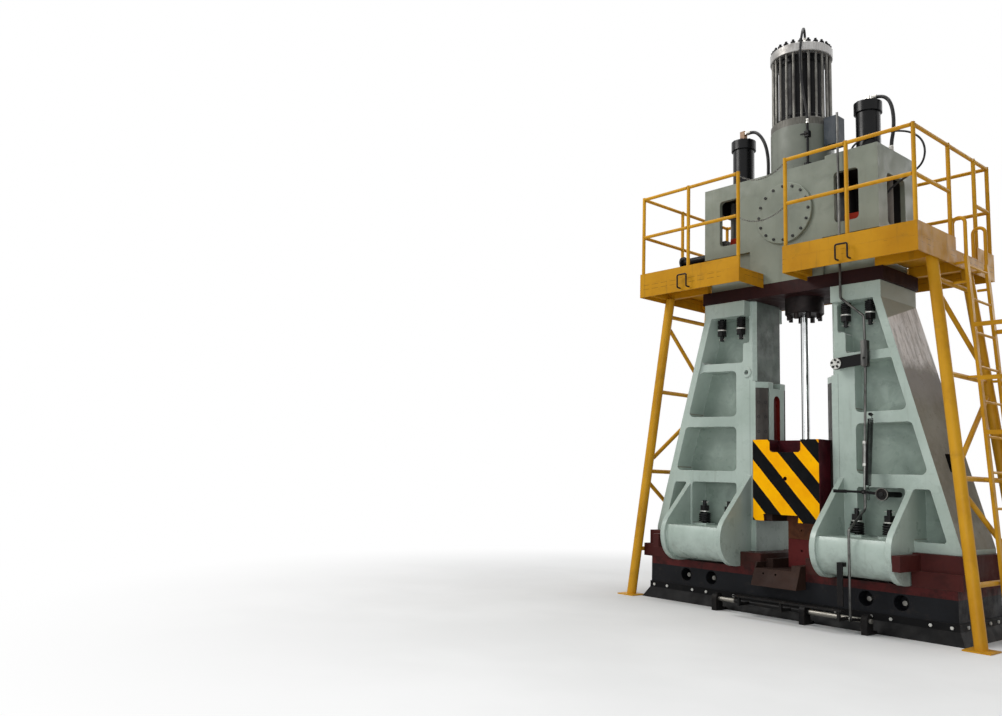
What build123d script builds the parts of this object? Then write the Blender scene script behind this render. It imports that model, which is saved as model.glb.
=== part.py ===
from build123d import *
import math
import os

os.makedirs("parts", exist_ok=True)

# Closed-die forging hammer, in millimetres. The origin is at floor level on the ram axis,
# X runs along the front, the front faces -Y and Z is up.

# Clearances
guide_gap = 0.5
strike_gap = 0.5
weld_gap = 0.3
rod_fit = 0.05
piston_gap = 0.4
slot_fit = 1.0
pin_gap = 0.4

# Anvil
anvil_half_length = 1806
anvil_half_depth = 507
ledge_z = 485
centre_half = 532
centre_z = 645
anvil_hole_radius = 75
anvil_hole_depth = 160
anvil_hole_z = 315
anvil_hole_x = [925, 1280]
skirt_top_z = 190
skirt_bend_z = 120
skirt_thickness = 12
skirt_flare = 80
skirt_bolt_x = [anvil_half_length - reach for reach in (1196, 821, 626, 251, 56)]
skirt_bolt_y = [160, 350]
skirt_bolt_z = 152
skirt_bolt_radius = 17
skirt_bolt_head = 12
pin_radius = 24
pin_shift = 28

# Dies and the block under them
sow_half = 270
sow_front = 700
sow_front_top = 600
sow_rear = 495
sow_bottom_z = 320
sow_top_z = 560
die_half_width = 165
die_half_depth = 120
die_line_z = 812
dovetail_angle = 8
lower_slot_depth = 60
lower_key_width = 84
lower_key_front = 430
lower_key_rear = 300
lower_key_height = 96
handling_hole_radius = 12
handling_hole_depth = 70

# Ram
ram_half_width = 415
ram_front = 443
ram_bottom_z = 1003
ram_height = 900
ram_waist = 355
ram_slot_left = -264
ram_slot_right = 150
ram_slot_depth = 75
ram_notch_half = 190
ram_notch_depth = 140
ram_notch_back = 190
ram_notch_corner = 40
ram_chamfer = 10

# Columns
column_inner = 475
column_half_depth = 400
post_half_depth = 280
web_start_x = 740
web_end_x = 1340
column_top_z = 3550
column_top_outer = 1100
column_shoulder_z = 3370
column_toe_x = 1810
column_toe_z = 850
column_outer_bottom_z = 800
column_rim = 87
pocket_back = 125
pocket_inner = 738
pocket_corner = 55
top_pocket_inner = 555
top_pocket_lower = 643
top_pocket_step_z = 3060
pocket_levels = [(2190, 2735), (1545, 2070)]
top_pocket_levels = (2830, 3375)
foot_pocket_top_z = 1410
foot_pocket_rim = 21
side_pocket_inner = 1371
side_pocket_rim = 115
side_pocket_levels = (900, 1405)
pad_inner = 543
pad_bottom_z = 3375
inner_corner_cut = 40
corner_cut_bottom_z = 2600
boss_hole_x = 592
boss_hole_z = 2705
boss_hole_radius = 28
boss_ring_radius = 62
boss_ring_proud = 12
lifting_slot_z = 1675
lifting_slot_width = 170
lifting_slot_height = 180
lifting_slot_corner = 15
lifting_slot_depth = 120

# Feet of the columns
flange_inner = 535
flange_outer = 1311
flange_thickness = 60
foot_round_y = 585
foot_round_z = 785
foot_round_radius = foot_round_z - ledge_z
boss_recess = 34
foot_root = 40
foot_slope_z = 1505
shelf_z = 905
seat_height = 20
seat_size = 170

# Guides of the ram
guide_front = post_half_depth
guide_tip = 370
guide_plate_thickness = 30
guide_bottom_z = 1100
guide_top_z = 2520
guide_rib_half = 152
guide_slot_half = 66
guide_slot_depth = 60
guide_slot_top_z = 2470
stop_height = 70

# Spring-loaded tie bolts
lower_tie_x = [778, 1119]
lower_tie_y = 370
upper_tie_x = [660, 930]
upper_tie_y = 290
stud_radius = 24
spring_radius = 54
spring_height = 118
washer_radius = 58
washer_height = 14
nut_radius = 56
nut_height = 62
stud_end = 60

# Keys between the feet and the anvil
key_inner = 1385
key_outer = 1860
key_long_end = 1925
low_key_front = 515
key_front = 480
key_low_z = 635
side_key_front = 900
side_key_width = 78

# Power head
base_half_length = 1130
base_half_depth = 400
base_thickness = 150
head_half_length = 1105
head_half_depth = 400
head_top_z = 5005
head_wide_z = 4118
head_nose_half = 462
head_foot_half = 1040
head_foot_half_depth = 350
head_wall = 58
chamber_inner = 470
chamber_floor_z = 4180
chamber_roof_z = 4935
window_inner = 606
window_outer = 886
window_bottom_z = 4255
window_top_z = 4823
window_corner = 45
side_window_half = 206
side_window_bottom_z = 4190
side_window_top_z = 4755
cover_z = 4489
cover_radius = 355
cover_thickness = 32
cover_bolt_circle = 315
cover_bolts_number = 16
cover_bolt_radius = 17
cover_bolt_head = 12
head_step_x = 505
head_step_height = 38
valve_block_size = (266, 380, 215)
valve_block_x = 745
head_pipe_radius = 34
head_pipe_x = [925, 1008]

# Cylinder, piston and gas vessel
bore_radius = 150
liner_radius = 185
liner_bottom_z = 3920
rod_radius = 45
piston_bottom_z = 4060
piston_height = 180
gland_radius = 215
gland_height = 190
gland_bolt_circle = 175
gland_bolts_number = 8
gland_bolt_radius = 26
gland_bolt_length = 62
cylinder_radius = 358
cylinder_top_z = 5548
cylinder_foot_radius = 400
cylinder_foot_height = 40
clamp_radius = 355
clamp_top_z = 5640
vessel_radius = 258
vessel_step = 22
ring_radius = 357
ring_bottom_z = 6450
ring_top_z = 6558
tie_rods_number = 24
tie_rod_circle = 326
tie_rod_radius = 15
tie_nut_radius = 30
tie_nut_height = 26
tie_rod_end = 26
top_cover_radius = 232
top_cover_height = 52
top_boss_radius = 95
top_boss_height = 60
eye_radius = 46
eye_bar_radius = 14

# Accumulators and pipework
accumulator_x = 812
accumulator_radius = 130
accumulator_cap_radius = 150
accumulator_cap_height = 118
accumulator_top_z = 5562
accumulator_foot_radius = 140
accumulator_foot_height = 30
accumulator_port_size = 64
right_port_z = 5735
left_port_z = 5790
valve_box_size = (160, 190, 330)
valve_box_y = -60
valve_box_z = 5270
thick_hose_radius = 20
thin_hose_radius = 11
pilot_hose_radius = 14
pipe_radius = 14
pilot_x = 262
pilot_y = -330
valve_lever_length = 70
oil_pipe_radius = 48
oil_flange_radius = 80
oil_flange_thickness = 30
oil_pipe_end = 1630
oil_pipe_rows = [(-255, 4055), (-65, 4055), (-160, 4222)]

# Platform
deck_half_length = 1718
deck_front = 896
deck_rear = 920
deck_z = 3820
deck_thickness = 10
fascia_bottom_z = 3656
fascia_thickness = 10
toe_board_top_z = 3953
toe_board_thickness = 6
gap_half = 273
deck_margin = 12
beam_width = 60
top_rail_z = 4923
mid_rail_z = 4428
rail_radius = 21
post_inset = 28
front_post_x = [300, 1000, deck_half_length - post_inset]
side_post_y = [-868, -95, 535, 892]
rear_post_x = [post_inset - deck_half_length, -700, 700, deck_half_length - post_inset]
ladder_gap = (-45, 486)
bracket_x = [-1028, 975]
bracket_size = (130, 150)
bracket_bar = 9
bracket_reach = 60

# Legs of the platform
leg_radius = 57
leg_foot_x = key_long_end + 110
leg_foot_y = 620
leg_top_x = 1636
leg_top_y = 411
foot_plate_size = (240, 240)
foot_plate_thickness = 14
brace_radius = 25
brace_levels = [3480, 2520, 1520, 560]
brace_drop = 110

# Ladder
ladder_top_x = deck_half_length + 94
ladder_lean = 0.0675
ladder_front = -45
ladder_rear = 455
ladder_bottom_z = 430
ladder_top_z = 3740
stringer_width = 60
stringer_depth = 30
rung_radius = 13
rung_first_z = 560
rung_step = 343
rungs_number = 10
hoop_levels = [1950, 2480, 3010]
hoop_reach = 620
hoop_bar = 8
hoop_width = 45
strap_angles = [-50, 0, 50]
handrail_radius = 18
handrail_top_z = 4150
grab_width = 122
grab_bend = 60
stand_off_height = 24

# Control gear
shaft_y = -720
shaft_z = 130
shaft_radius = 24
shaft_overhang = 20
bearing_radius = 62
bearing_length = 60
bearing_x = [-720, 350, 1010]
pedal_y = -905
pedal_left = -330
pedal_right = 900
pedal_width = 90
pedal_z = 205
pedal_thickness = 16
pedal_arm_x = [-290, 210, 840]
pedal_arm_half = 15
pedal_arm_width = 26
link_low_x = 968
link_low_y = -900
link_hand_x = 918
link_hand_y = -465
link_hand_top_z = 1420
link_clevis_x = 912
link_clevis_y = -385
link_radius = 13
link_bend = 40
link_pin_z = 150
link_bend_low_z = 985
link_bend_high_z = 1190
eye_pin_radius = 9
eye_play = 5
eye_wall = 9
eye_thickness = 12
arm_wall = 6
turnbuckle_z = 1748
turnbuckle_length = 200
turnbuckle_radius = 24
clevis_low_z = 2650
clevis_high_z = 2930
clevis_half_width = 34
clevis_half_depth = 30
clevis_room = 12
upper_bend_x = 905
upper_bend_z = 3190
upper_link_x = 687
upper_link_y = -450
upper_link_z = 3400
upper_link_top_z = 5480
lever_gap = 3
pin_seat = 100
rocker_x = boss_hole_x
rocker_z = boss_hole_z
rocker_width = 118
rocker_thickness = 24
rocker_hub_radius = 62
rocker_sleeve_radius = 45
rocker_pin_z = 2740
hand_hub_x = 1112
hand_hub_z = 1344
hand_hub_radius = 62
hand_lever_z = 1361
hand_arm_x = 850
hand_grip_x = 645
hand_grip_y = -590
hand_bar_radius = 14
hand_grip_length = 130
hand_grip_radius = 17
strut_x = 868
strut_y = -888
strut_width = 58
strut_thickness = 16
strut_bottom_z = 255
strut_top_z = 672
strut_lug = 40


def round_bar(start, end, radius):
    """Add a straight round bar between two points."""
    axis = Vector(*end) - Vector(*start)
    with BuildSketch(Plane(origin=start, z_dir=axis)) as section:
        Circle(radius)
    extrude(section.sketch, amount=axis.length)


def flat_bar(low, high):
    """Add a rectangular bar given by its lowest and highest corners."""
    with BuildSketch(Plane.XY.offset(low[2])) as section:
        with Locations(((low[0] + high[0]) / 2, (low[1] + high[1]) / 2)):
            Rectangle(high[0] - low[0], high[1] - low[1])
    extrude(section.sketch, amount=high[2] - low[2])


def flat_cut(low, high):
    """Remove a rectangular block given by its lowest and highest corners."""
    with BuildSketch(Plane.XY.offset(low[2])) as section:
        with Locations(((low[0] + high[0]) / 2, (low[1] + high[1]) / 2)):
            Rectangle(high[0] - low[0], high[1] - low[1])
    extrude(section.sketch, amount=high[2] - low[2], mode=Mode.SUBTRACT)


def hose(points, radius):
    """Add a hose along straight runs joined by arcs as large as the runs allow."""
    route = [Vector(*p) for p in points]
    radii = []
    for before, here, after in zip(route, route[1:], route[2:]):
        turn = math.radians((here - before).get_angle(after - here))
        shorter = min((here - before).length, (after - here).length)
        radii.append(0.45 * shorter / math.tan(turn / 2))
    print("hose radii", [round(r) for r in radii])
    with BuildLine() as path:
        FilletPolyline(*route, radius=radii)
    with BuildSketch(Plane(origin=path.line @ 0, z_dir=path.line % 0)) as section:
        Circle(radius)
    sweep(section.sketch, path=path.line)


# Anvil: side ledges, a raised centre with the channel of the lower block, and lifting holes
with BuildPart() as anvil:
    channel = sow_half + slot_fit
    with BuildSketch(Plane.XZ):
        with BuildLine():
            Polyline(
                (-anvil_half_length, 0), (anvil_half_length, 0), (anvil_half_length, ledge_z),
                (centre_half, ledge_z), (centre_half, centre_z), (channel, centre_z),
                (channel, sow_bottom_z), (-channel, sow_bottom_z), (-channel, centre_z),
                (-centre_half, centre_z), (-centre_half, ledge_z),
                (-anvil_half_length, ledge_z), close=True,
            )
        make_face()
    extrude(amount=anvil_half_depth, both=True)
    for side in (-1, 1):
        face = Plane.XZ.offset(side * anvil_half_depth)
        with BuildSketch(face):
            with Locations(*[(s * x, anvil_hole_z) for x in anvil_hole_x for s in (-1, 1)]):
                Circle(anvil_hole_radius)
        extrude(amount=-side * anvil_hole_depth, mode=Mode.SUBTRACT)
anvil.part.label = "anvil"
export_step(anvil.part, "parts/anvil.step")

# Flared skirt round the foot of the anvil
with BuildPart() as anvil_skirt:
    band = skirt_thickness
    with BuildSketch():
        Rectangle(2 * (anvil_half_length + skirt_flare), 2 * (anvil_half_depth + skirt_flare))
    with BuildSketch(Plane.XY.offset(skirt_bend_z)):
        Rectangle(2 * (anvil_half_length + band), 2 * (anvil_half_depth + band))
    loft()
    with BuildSketch(Plane.XY.offset(skirt_bend_z)):
        Rectangle(2 * (anvil_half_length + band), 2 * (anvil_half_depth + band))
    extrude(amount=skirt_top_z - skirt_bend_z)
    with BuildSketch():
        Rectangle(2 * anvil_half_length, 2 * anvil_half_depth)
    extrude(amount=skirt_top_z, mode=Mode.SUBTRACT)
anvil_skirt.part.label = "anvil_skirt"
export_step(anvil_skirt.part, "parts/anvil_skirt.step")

with BuildPart() as skirt_bolts:
    for side in (-1, 1):
        with BuildSketch(Plane.XZ.offset(side * (anvil_half_depth + skirt_thickness))):
            with Locations(*[(s * x, skirt_bolt_z) for x in skirt_bolt_x for s in (-1, 1)]):
                RegularPolygon(skirt_bolt_radius, 6)
        extrude(amount=side * skirt_bolt_head)
        with BuildSketch(Plane.YZ.offset(side * (anvil_half_length + skirt_thickness))):
            with Locations(*[(s * y, skirt_bolt_z) for y in skirt_bolt_y for s in (-1, 1)]):
                RegularPolygon(skirt_bolt_radius, 6)
        extrude(amount=side * skirt_bolt_head)
skirt_bolts.part.label = "skirt_bolts"
export_step(skirt_bolts.part, "parts/skirt_bolts.step")

# Bright pin ends that stand in the anvil's round holes
with BuildPart() as anvil_pins:
    for side in (-1, 1):
        floor_y = side * (anvil_half_depth - anvil_hole_depth)
        with BuildSketch(Plane.XZ.offset(floor_y)):
            for x in anvil_hole_x:
                with Locations((x + pin_shift, anvil_hole_z), (pin_shift - x, anvil_hole_z)):
                    Circle(pin_radius)
        extrude(amount=side * (anvil_hole_depth - skirt_bolt_head))
anvil_pins.part.label = "anvil_pins"
export_step(anvil_pins.part, "parts/anvil_pins.step")

# Block that carries the lower die: it stands out in front and its top takes the dovetail
slot_slope = math.tan(math.radians(dovetail_angle))
lower_slot_left = -die_half_width - lower_key_width
with BuildPart() as sow_block:
    with BuildSketch(Plane.YZ):
        with BuildLine():
            Polyline(
                (-sow_front, sow_bottom_z), (sow_rear, sow_bottom_z), (sow_rear, sow_top_z),
                (-sow_front_top, sow_top_z), close=True,
            )
        make_face()
    extrude(amount=sow_half, both=True)
    spread = lower_slot_depth * slot_slope
    slot_floor = sow_top_z - lower_slot_depth
    with BuildSketch(Plane.XZ):
        with BuildLine():
            Polyline(
                (lower_slot_left, sow_top_z), (die_half_width, sow_top_z),
                (die_half_width + spread, slot_floor), (lower_slot_left - spread, slot_floor),
                close=True,
            )
        make_face()
    extrude(amount=sow_front, both=True, mode=Mode.SUBTRACT)
    with BuildSketch(Plane.XZ.offset(sow_front)):
        with Locations((-150, sow_bottom_z + 130), (0, sow_bottom_z + 130)):
            Circle(handling_hole_radius)
    extrude(amount=-2 * handling_hole_depth, mode=Mode.SUBTRACT)
sow_block.part.label = "sow_block"
export_step(sow_block.part, "parts/sow_block.step")

with BuildPart() as lower_die:
    with BuildSketch(Plane.XZ):
        with BuildLine():
            Polyline(
                (-die_half_width, slot_floor), (die_half_width + spread, slot_floor),
                (die_half_width, sow_top_z), (die_half_width, die_line_z),
                (-die_half_width, die_line_z), close=True,
            )
        make_face()
    extrude(amount=die_half_depth, both=True)
    for side in (-1, 1):
        with BuildSketch(Plane.XZ.offset(side * die_half_depth)):
            with Locations((0, (sow_top_z + die_line_z) / 2)):
                Circle(handling_hole_radius)
        extrude(amount=-side * handling_hole_depth, mode=Mode.SUBTRACT)
    chamfer(lower_die.faces().sort_by(Axis.Z)[-1].edges(), 3)
lower_die.part.label = "lower_die"
export_step(lower_die.part, "parts/lower_die.step")

# Wedge key driven in beside the lower die
with BuildPart() as lower_die_key:
    key_right = -die_half_width - weld_gap
    with BuildSketch(Plane.XZ.offset(lower_key_front)):
        with BuildLine():
            Polyline(
                (lower_slot_left - spread, slot_floor), (key_right, slot_floor),
                (key_right, slot_floor + lower_key_height),
                (lower_slot_left, slot_floor + lower_key_height), (lower_slot_left, sow_top_z),
                close=True,
            )
        make_face()
    extrude(amount=-lower_key_front - lower_key_rear)
lower_die_key.part.label = "lower_die_key"
export_step(lower_die_key.part, "parts/lower_die_key.step")


def outer_x(z):
    """X of the column's slanted outer side at a height."""
    share = (column_shoulder_z - z) / (column_shoulder_z - column_toe_z)
    return column_top_outer + share * (column_toe_x - column_top_outer)


def pocket(points, corner):
    """Sink one front and one rear pocket of this outline into the column."""
    for side in (-1, 1):
        with BuildSketch(Plane.XZ.offset(side * column_half_depth)) as outline:
            with BuildLine():
                Polyline(*points, close=True)
            make_face()
            fillet(outline.vertices(), corner)
        extrude(
            outline.sketch, amount=side * (pocket_back - column_half_depth), mode=Mode.SUBTRACT
        )


def flange(x, side):
    """Add one side plate of the foot, straight above and round in front."""
    reach = Vector(foot_round_y - post_half_depth, foot_round_z - foot_slope_z)
    normal = math.atan2(reach.Y, reach.X) + math.asin(foot_round_radius / reach.length) + math.pi / 2
    touch_y = foot_round_y + foot_round_radius * math.cos(normal)
    touch_z = foot_round_z + foot_round_radius * math.sin(normal)
    back = post_half_depth - foot_root
    with BuildSketch(Plane.YZ.offset(x)) as outline:
        with BuildLine():
            Polyline(
                (side * touch_y, touch_z), (side * post_half_depth, foot_slope_z),
                (side * back, foot_slope_z), (side * back, ledge_z),
                (side * foot_round_y, ledge_z),
            )
            ThreePointArc(
                (side * foot_round_y, ledge_z),
                (side * (foot_round_y + foot_round_radius), foot_round_z),
                (side * touch_y, touch_z),
            )
        make_face()
    extrude(outline.sketch, amount=flange_thickness)


def foot_boss(side):
    """Add the round boss between the side plates, with its flat shelf and bolt seats."""
    radius = foot_round_radius - boss_recess
    shelf_reach = math.sqrt(radius**2 - (shelf_z - foot_round_z) ** 2)
    back = post_half_depth - foot_root
    with BuildSketch(Plane.YZ.offset(flange_inner + flange_thickness)) as outline:
        with BuildLine():
            Polyline(
                (side * foot_round_y, foot_round_z - radius),
                (side * back, foot_round_z - radius),
                (side * back, shelf_z), (side * (foot_round_y + shelf_reach), shelf_z),
            )
            ThreePointArc(
                (side * (foot_round_y + shelf_reach), shelf_z),
                (side * (foot_round_y + radius), foot_round_z),
                (side * foot_round_y, foot_round_z - radius),
            )
        make_face()
    extrude(outline.sketch, amount=flange_outer - flange_inner - flange_thickness)
    with BuildSketch(Plane.XY.offset(shelf_z)) as seats:
        with Locations(*[(x, side * lower_tie_y) for x in lower_tie_x]):
            Rectangle(seat_size, seat_size)
    extrude(seats.sketch, amount=seat_height)


def column_casting():
    """Build the right-hand column, one casting with its guide rib and its foot."""
    with BuildPart() as casting:
        with BuildSketch(Plane.XZ):
            with BuildLine():
                Polyline(
                    (column_inner, centre_z), (column_inner, column_top_z),
                    (column_top_outer, column_top_z), (column_top_outer, column_shoulder_z),
                    (column_toe_x, column_toe_z), (column_toe_x, column_outer_bottom_z),
                    (key_inner, column_outer_bottom_z), (key_inner, ledge_z),
                    (centre_half, ledge_z), (centre_half, centre_z), close=True,
                )
            make_face()
        extrude(amount=column_half_depth, both=True)

        # Front and rear stand back at the inner post and slant outwards to the full depth
        with BuildPart(mode=Mode.PRIVATE) as recess:
            with BuildSketch(Plane.XY.offset(ledge_z)):
                for side in (-1, 1):
                    with BuildLine():
                        Polyline(
                            (0, side * post_half_depth), (web_start_x, side * post_half_depth),
                            (web_end_x, side * column_half_depth),
                            (0, side * column_half_depth), close=True,
                        )
                    make_face()
            extrude(amount=column_top_z - ledge_z)
            with BuildSketch(Plane.XZ):
                with BuildLine():
                    Polyline(
                        (0, ledge_z), (0, column_top_z),
                        (column_top_outer - column_rim, column_top_z),
                        (column_top_outer - column_rim, column_shoulder_z),
                        (column_toe_x - column_rim, column_toe_z),
                        (column_toe_x - column_rim, ledge_z), close=True,
                    )
                make_face()
            extrude(amount=column_half_depth, both=True, mode=Mode.INTERSECT)
        add(recess.part, mode=Mode.SUBTRACT)

        # Corner cuts of the inner wall above the guides
        cut = inner_corner_cut
        with BuildSketch(Plane.XY.offset(corner_cut_bottom_z)):
            for side in (-1, 1):
                with BuildLine():
                    Polyline(
                        (column_inner, side * (post_half_depth - cut)),
                        (column_inner + cut, side * post_half_depth),
                        (column_inner, side * post_half_depth), close=True,
                    )
                make_face()
        extrude(amount=column_top_z - corner_cut_bottom_z, mode=Mode.SUBTRACT)

        # Pads at the top, front and rear
        for side in (-1, 1):
            with BuildSketch(Plane.XZ.offset(side * post_half_depth)):
                middle = ((pad_inner + column_top_outer) / 2, (pad_bottom_z + column_top_z) / 2)
                with Locations(middle):
                    Rectangle(column_top_outer - pad_inner, column_top_z - pad_bottom_z)
            extrude(amount=side * (column_half_depth - post_half_depth))

        # Pockets between the ribs
        low, high = top_pocket_levels
        pocket(
            [(top_pocket_inner, high), (outer_x(high) - column_rim, high),
             (outer_x(low) - column_rim, low), (top_pocket_lower, low),
             (top_pocket_lower, top_pocket_step_z), (top_pocket_inner, top_pocket_step_z)],
            pocket_corner / 2,
        )
        for low, high in pocket_levels:
            pocket(
                [(pocket_inner, high), (outer_x(high) - column_rim, high),
                 (outer_x(low) - column_rim, low), (pocket_inner, low)],
                pocket_corner,
            )
        low, high = side_pocket_levels
        pocket(
            [(side_pocket_inner, high), (outer_x(high) - side_pocket_rim, high),
             (outer_x(low) - side_pocket_rim, low), (side_pocket_inner, low)],
            pocket_corner / 2,
        )
        pocket(
            [(pocket_inner, foot_pocket_top_z),
             (flange_outer - foot_pocket_rim, foot_pocket_top_z),
             (flange_outer - foot_pocket_rim, shelf_z), (pocket_inner, shelf_z)],
            pocket_corner / 2,
        )

        # Feet, front and rear
        for side in (-1, 1):
            flange(flange_inner, side)
            flange(flange_outer, side)
            foot_boss(side)

        # Guide rib with its oil groove
        flank = guide_plate_thickness * math.sqrt(2)
        flank_y = guide_tip + guide_front - column_inner
        rib_root_y = guide_front - flank
        rib_top_x = column_inner - (rib_root_y - guide_rib_half)
        with BuildSketch(Plane.XY.offset(guide_bottom_z)):
            with BuildLine():
                Polyline(
                    (column_inner, -rib_root_y), (rib_top_x, -guide_rib_half),
                    (guide_tip, -guide_rib_half), (guide_tip, guide_rib_half),
                    (rib_top_x, guide_rib_half), (column_inner, rib_root_y), close=True,
                )
            make_face()
        extrude(amount=guide_top_z - guide_bottom_z)
        with BuildSketch(Plane.YZ.offset(guide_tip)):
            with Locations((0, (guide_bottom_z + guide_slot_top_z) / 2)):
                SlotOverall(
                    guide_slot_top_z - guide_bottom_z - guide_slot_half,
                    2 * guide_slot_half, rotation=90,
                )
        extrude(amount=guide_slot_depth, mode=Mode.SUBTRACT)

        # Stop blocks above the guide plates
        tip_y = guide_front - (column_inner - guide_tip)
        with BuildSketch(Plane.XY.offset(guide_top_z)):
            for side in (-1, 1):
                with BuildLine():
                    Polyline(
                        (column_inner, side * guide_front), (guide_tip, side * tip_y),
                        (guide_tip, side * guide_rib_half / 2),
                        (column_inner, side * guide_rib_half / 2), close=True,
                    )
                make_face()
        extrude(amount=stop_height)

        # Bossed hole for the rocker shaft and the slot for lifting
        with BuildSketch(Plane.XZ.offset(post_half_depth)):
            with Locations((boss_hole_x, boss_hole_z)):
                Circle(boss_ring_radius)
        extrude(amount=boss_ring_proud)
        with BuildSketch(Plane.XZ.offset(post_half_depth + boss_ring_proud)):
            with Locations((boss_hole_x, boss_hole_z)):
                Circle(boss_hole_radius)
        extrude(amount=-post_half_depth, mode=Mode.SUBTRACT)
        with BuildSketch(Plane.YZ.offset(outer_x(lifting_slot_z) - lifting_slot_depth)):
            with Locations((0, lifting_slot_z)):
                RectangleRounded(lifting_slot_width, lifting_slot_height, lifting_slot_corner)
        extrude(amount=2 * lifting_slot_depth, mode=Mode.SUBTRACT)
    return casting


right_column = column_casting()
right_column.part.label = "right_column"
export_step(right_column.part, "parts/right_column.step")

with BuildPart() as left_column:
    add(mirror(right_column.part, about=Plane.YZ, mode=Mode.PRIVATE))
left_column.part.label = "left_column"
export_step(left_column.part, "parts/left_column.step")

# Hardened plates that guide the ram at 45 degrees
with BuildPart() as guide_plates:
    tip_y = guide_front - (column_inner - guide_tip)
    step = guide_plate_thickness / math.sqrt(2)
    for sx in (-1, 1):
        for sy in (-1, 1):
            with BuildSketch(Plane.XY.offset(guide_bottom_z)):
                with BuildLine():
                    Polyline(
                        (sx * column_inner, sy * guide_front), (sx * guide_tip, sy * tip_y),
                        (sx * (guide_tip + step), sy * (tip_y - step)),
                        (sx * column_inner, sy * (guide_front - 2 * step)), close=True,
                    )
                make_face()
            extrude(amount=guide_top_z - guide_bottom_z)
guide_plates.part.label = "guide_plates"
export_step(guide_plates.part, "parts/guide_plates.step")

# Tie bolts: the lower ones stand on the foot shelves, the upper ones hang below the top
seat_z = shelf_z + seat_height
hang_z = top_pocket_levels[1]
lower_places = [(sx * x, sy * lower_tie_y) for x in lower_tie_x for sx in (-1, 1) for sy in (-1, 1)]
upper_places = [(sx * x, sy * upper_tie_y) for x in upper_tie_x for sx in (-1, 1) for sy in (-1, 1)]


def stack(bottom, top, profile):
    """Add one layer of the tie-bolt stacks, mirrored to the upper bolts."""
    with BuildSketch(Plane.XY.offset(seat_z + bottom)) as lower:
        with Locations(*lower_places):
            profile()
    extrude(lower.sketch, amount=top - bottom)
    with BuildSketch(Plane.XY.offset(hang_z - bottom)) as upper:
        with Locations(*upper_places):
            profile()
    extrude(upper.sketch, amount=bottom - top)


def ring(outer):
    """Draw a ring round the stud."""
    Circle(outer)
    Circle(stud_radius, mode=Mode.SUBTRACT)


def hexagon():
    """Draw a hexagon round the stud."""
    RegularPolygon(nut_radius, 6)
    Circle(stud_radius, mode=Mode.SUBTRACT)


spring_top = washer_height + spring_height
nut_seat = spring_top + washer_height
with BuildPart() as tie_studs:
    stack(0, nut_seat + nut_height + stud_end, lambda: Circle(stud_radius))
tie_studs.part.label = "tie_studs"
export_step(tie_studs.part, "parts/tie_studs.step")

with BuildPart() as tie_springs:
    stack(0, spring_top, lambda: ring(spring_radius))
tie_springs.part.label = "tie_springs"
export_step(tie_springs.part, "parts/tie_springs.step")

with BuildPart() as tie_washers:
    stack(spring_top, nut_seat, lambda: ring(washer_radius))
tie_washers.part.label = "tie_washers"
export_step(tie_washers.part, "parts/tie_washers.step")

with BuildPart() as tie_nuts:
    stack(nut_seat, nut_seat + nut_height, hexagon)
tie_nuts.part.label = "tie_nuts"
export_step(tie_nuts.part, "parts/tie_nuts.step")

# Keys that lock the feet on the anvil: two bars one above the other and one beside the foot
with BuildPart() as column_keys:
    for sx, reach in ((1, key_outer), (-1, key_long_end)):
        low = min(sx * (key_inner + weld_gap), sx * reach)
        high = max(sx * (key_inner + weld_gap), sx * reach)
        flat_bar((low, -low_key_front, ledge_z), (high, low_key_front, key_low_z))
        low = min(sx * (key_inner + weld_gap), sx * key_outer)
        high = max(sx * (key_inner + weld_gap), sx * key_outer)
        flat_bar(
            (low, -key_front, key_low_z + weld_gap),
            (high, key_front, column_outer_bottom_z - weld_gap),
        )
        for sy in (-1, 1):
            near = sy * (key_front + weld_gap)
            far = sy * side_key_front
            low = min(sx * key_inner, sx * (key_inner + side_key_width))
            flat_bar(
                (low + sx * weld_gap, min(near, far), key_low_z),
                (low + side_key_width + sx * weld_gap, max(near, far), column_outer_bottom_z - 15),
            )
column_keys.part.label = "column_keys"
export_step(column_keys.part, "parts/column_keys.step")

# Thick plate between the columns and the power head
base_top_z = column_top_z + base_thickness
with BuildPart() as head_base_plate:
    with BuildSketch(Plane.XY.offset(column_top_z)):
        Rectangle(2 * base_half_length, 2 * base_half_depth)
        Circle(gland_radius + slot_fit, mode=Mode.SUBTRACT)
    extrude(amount=base_thickness)
head_base_plate.part.label = "head_base_plate"
export_step(head_base_plate.part, "parts/head_base_plate.step")

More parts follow.
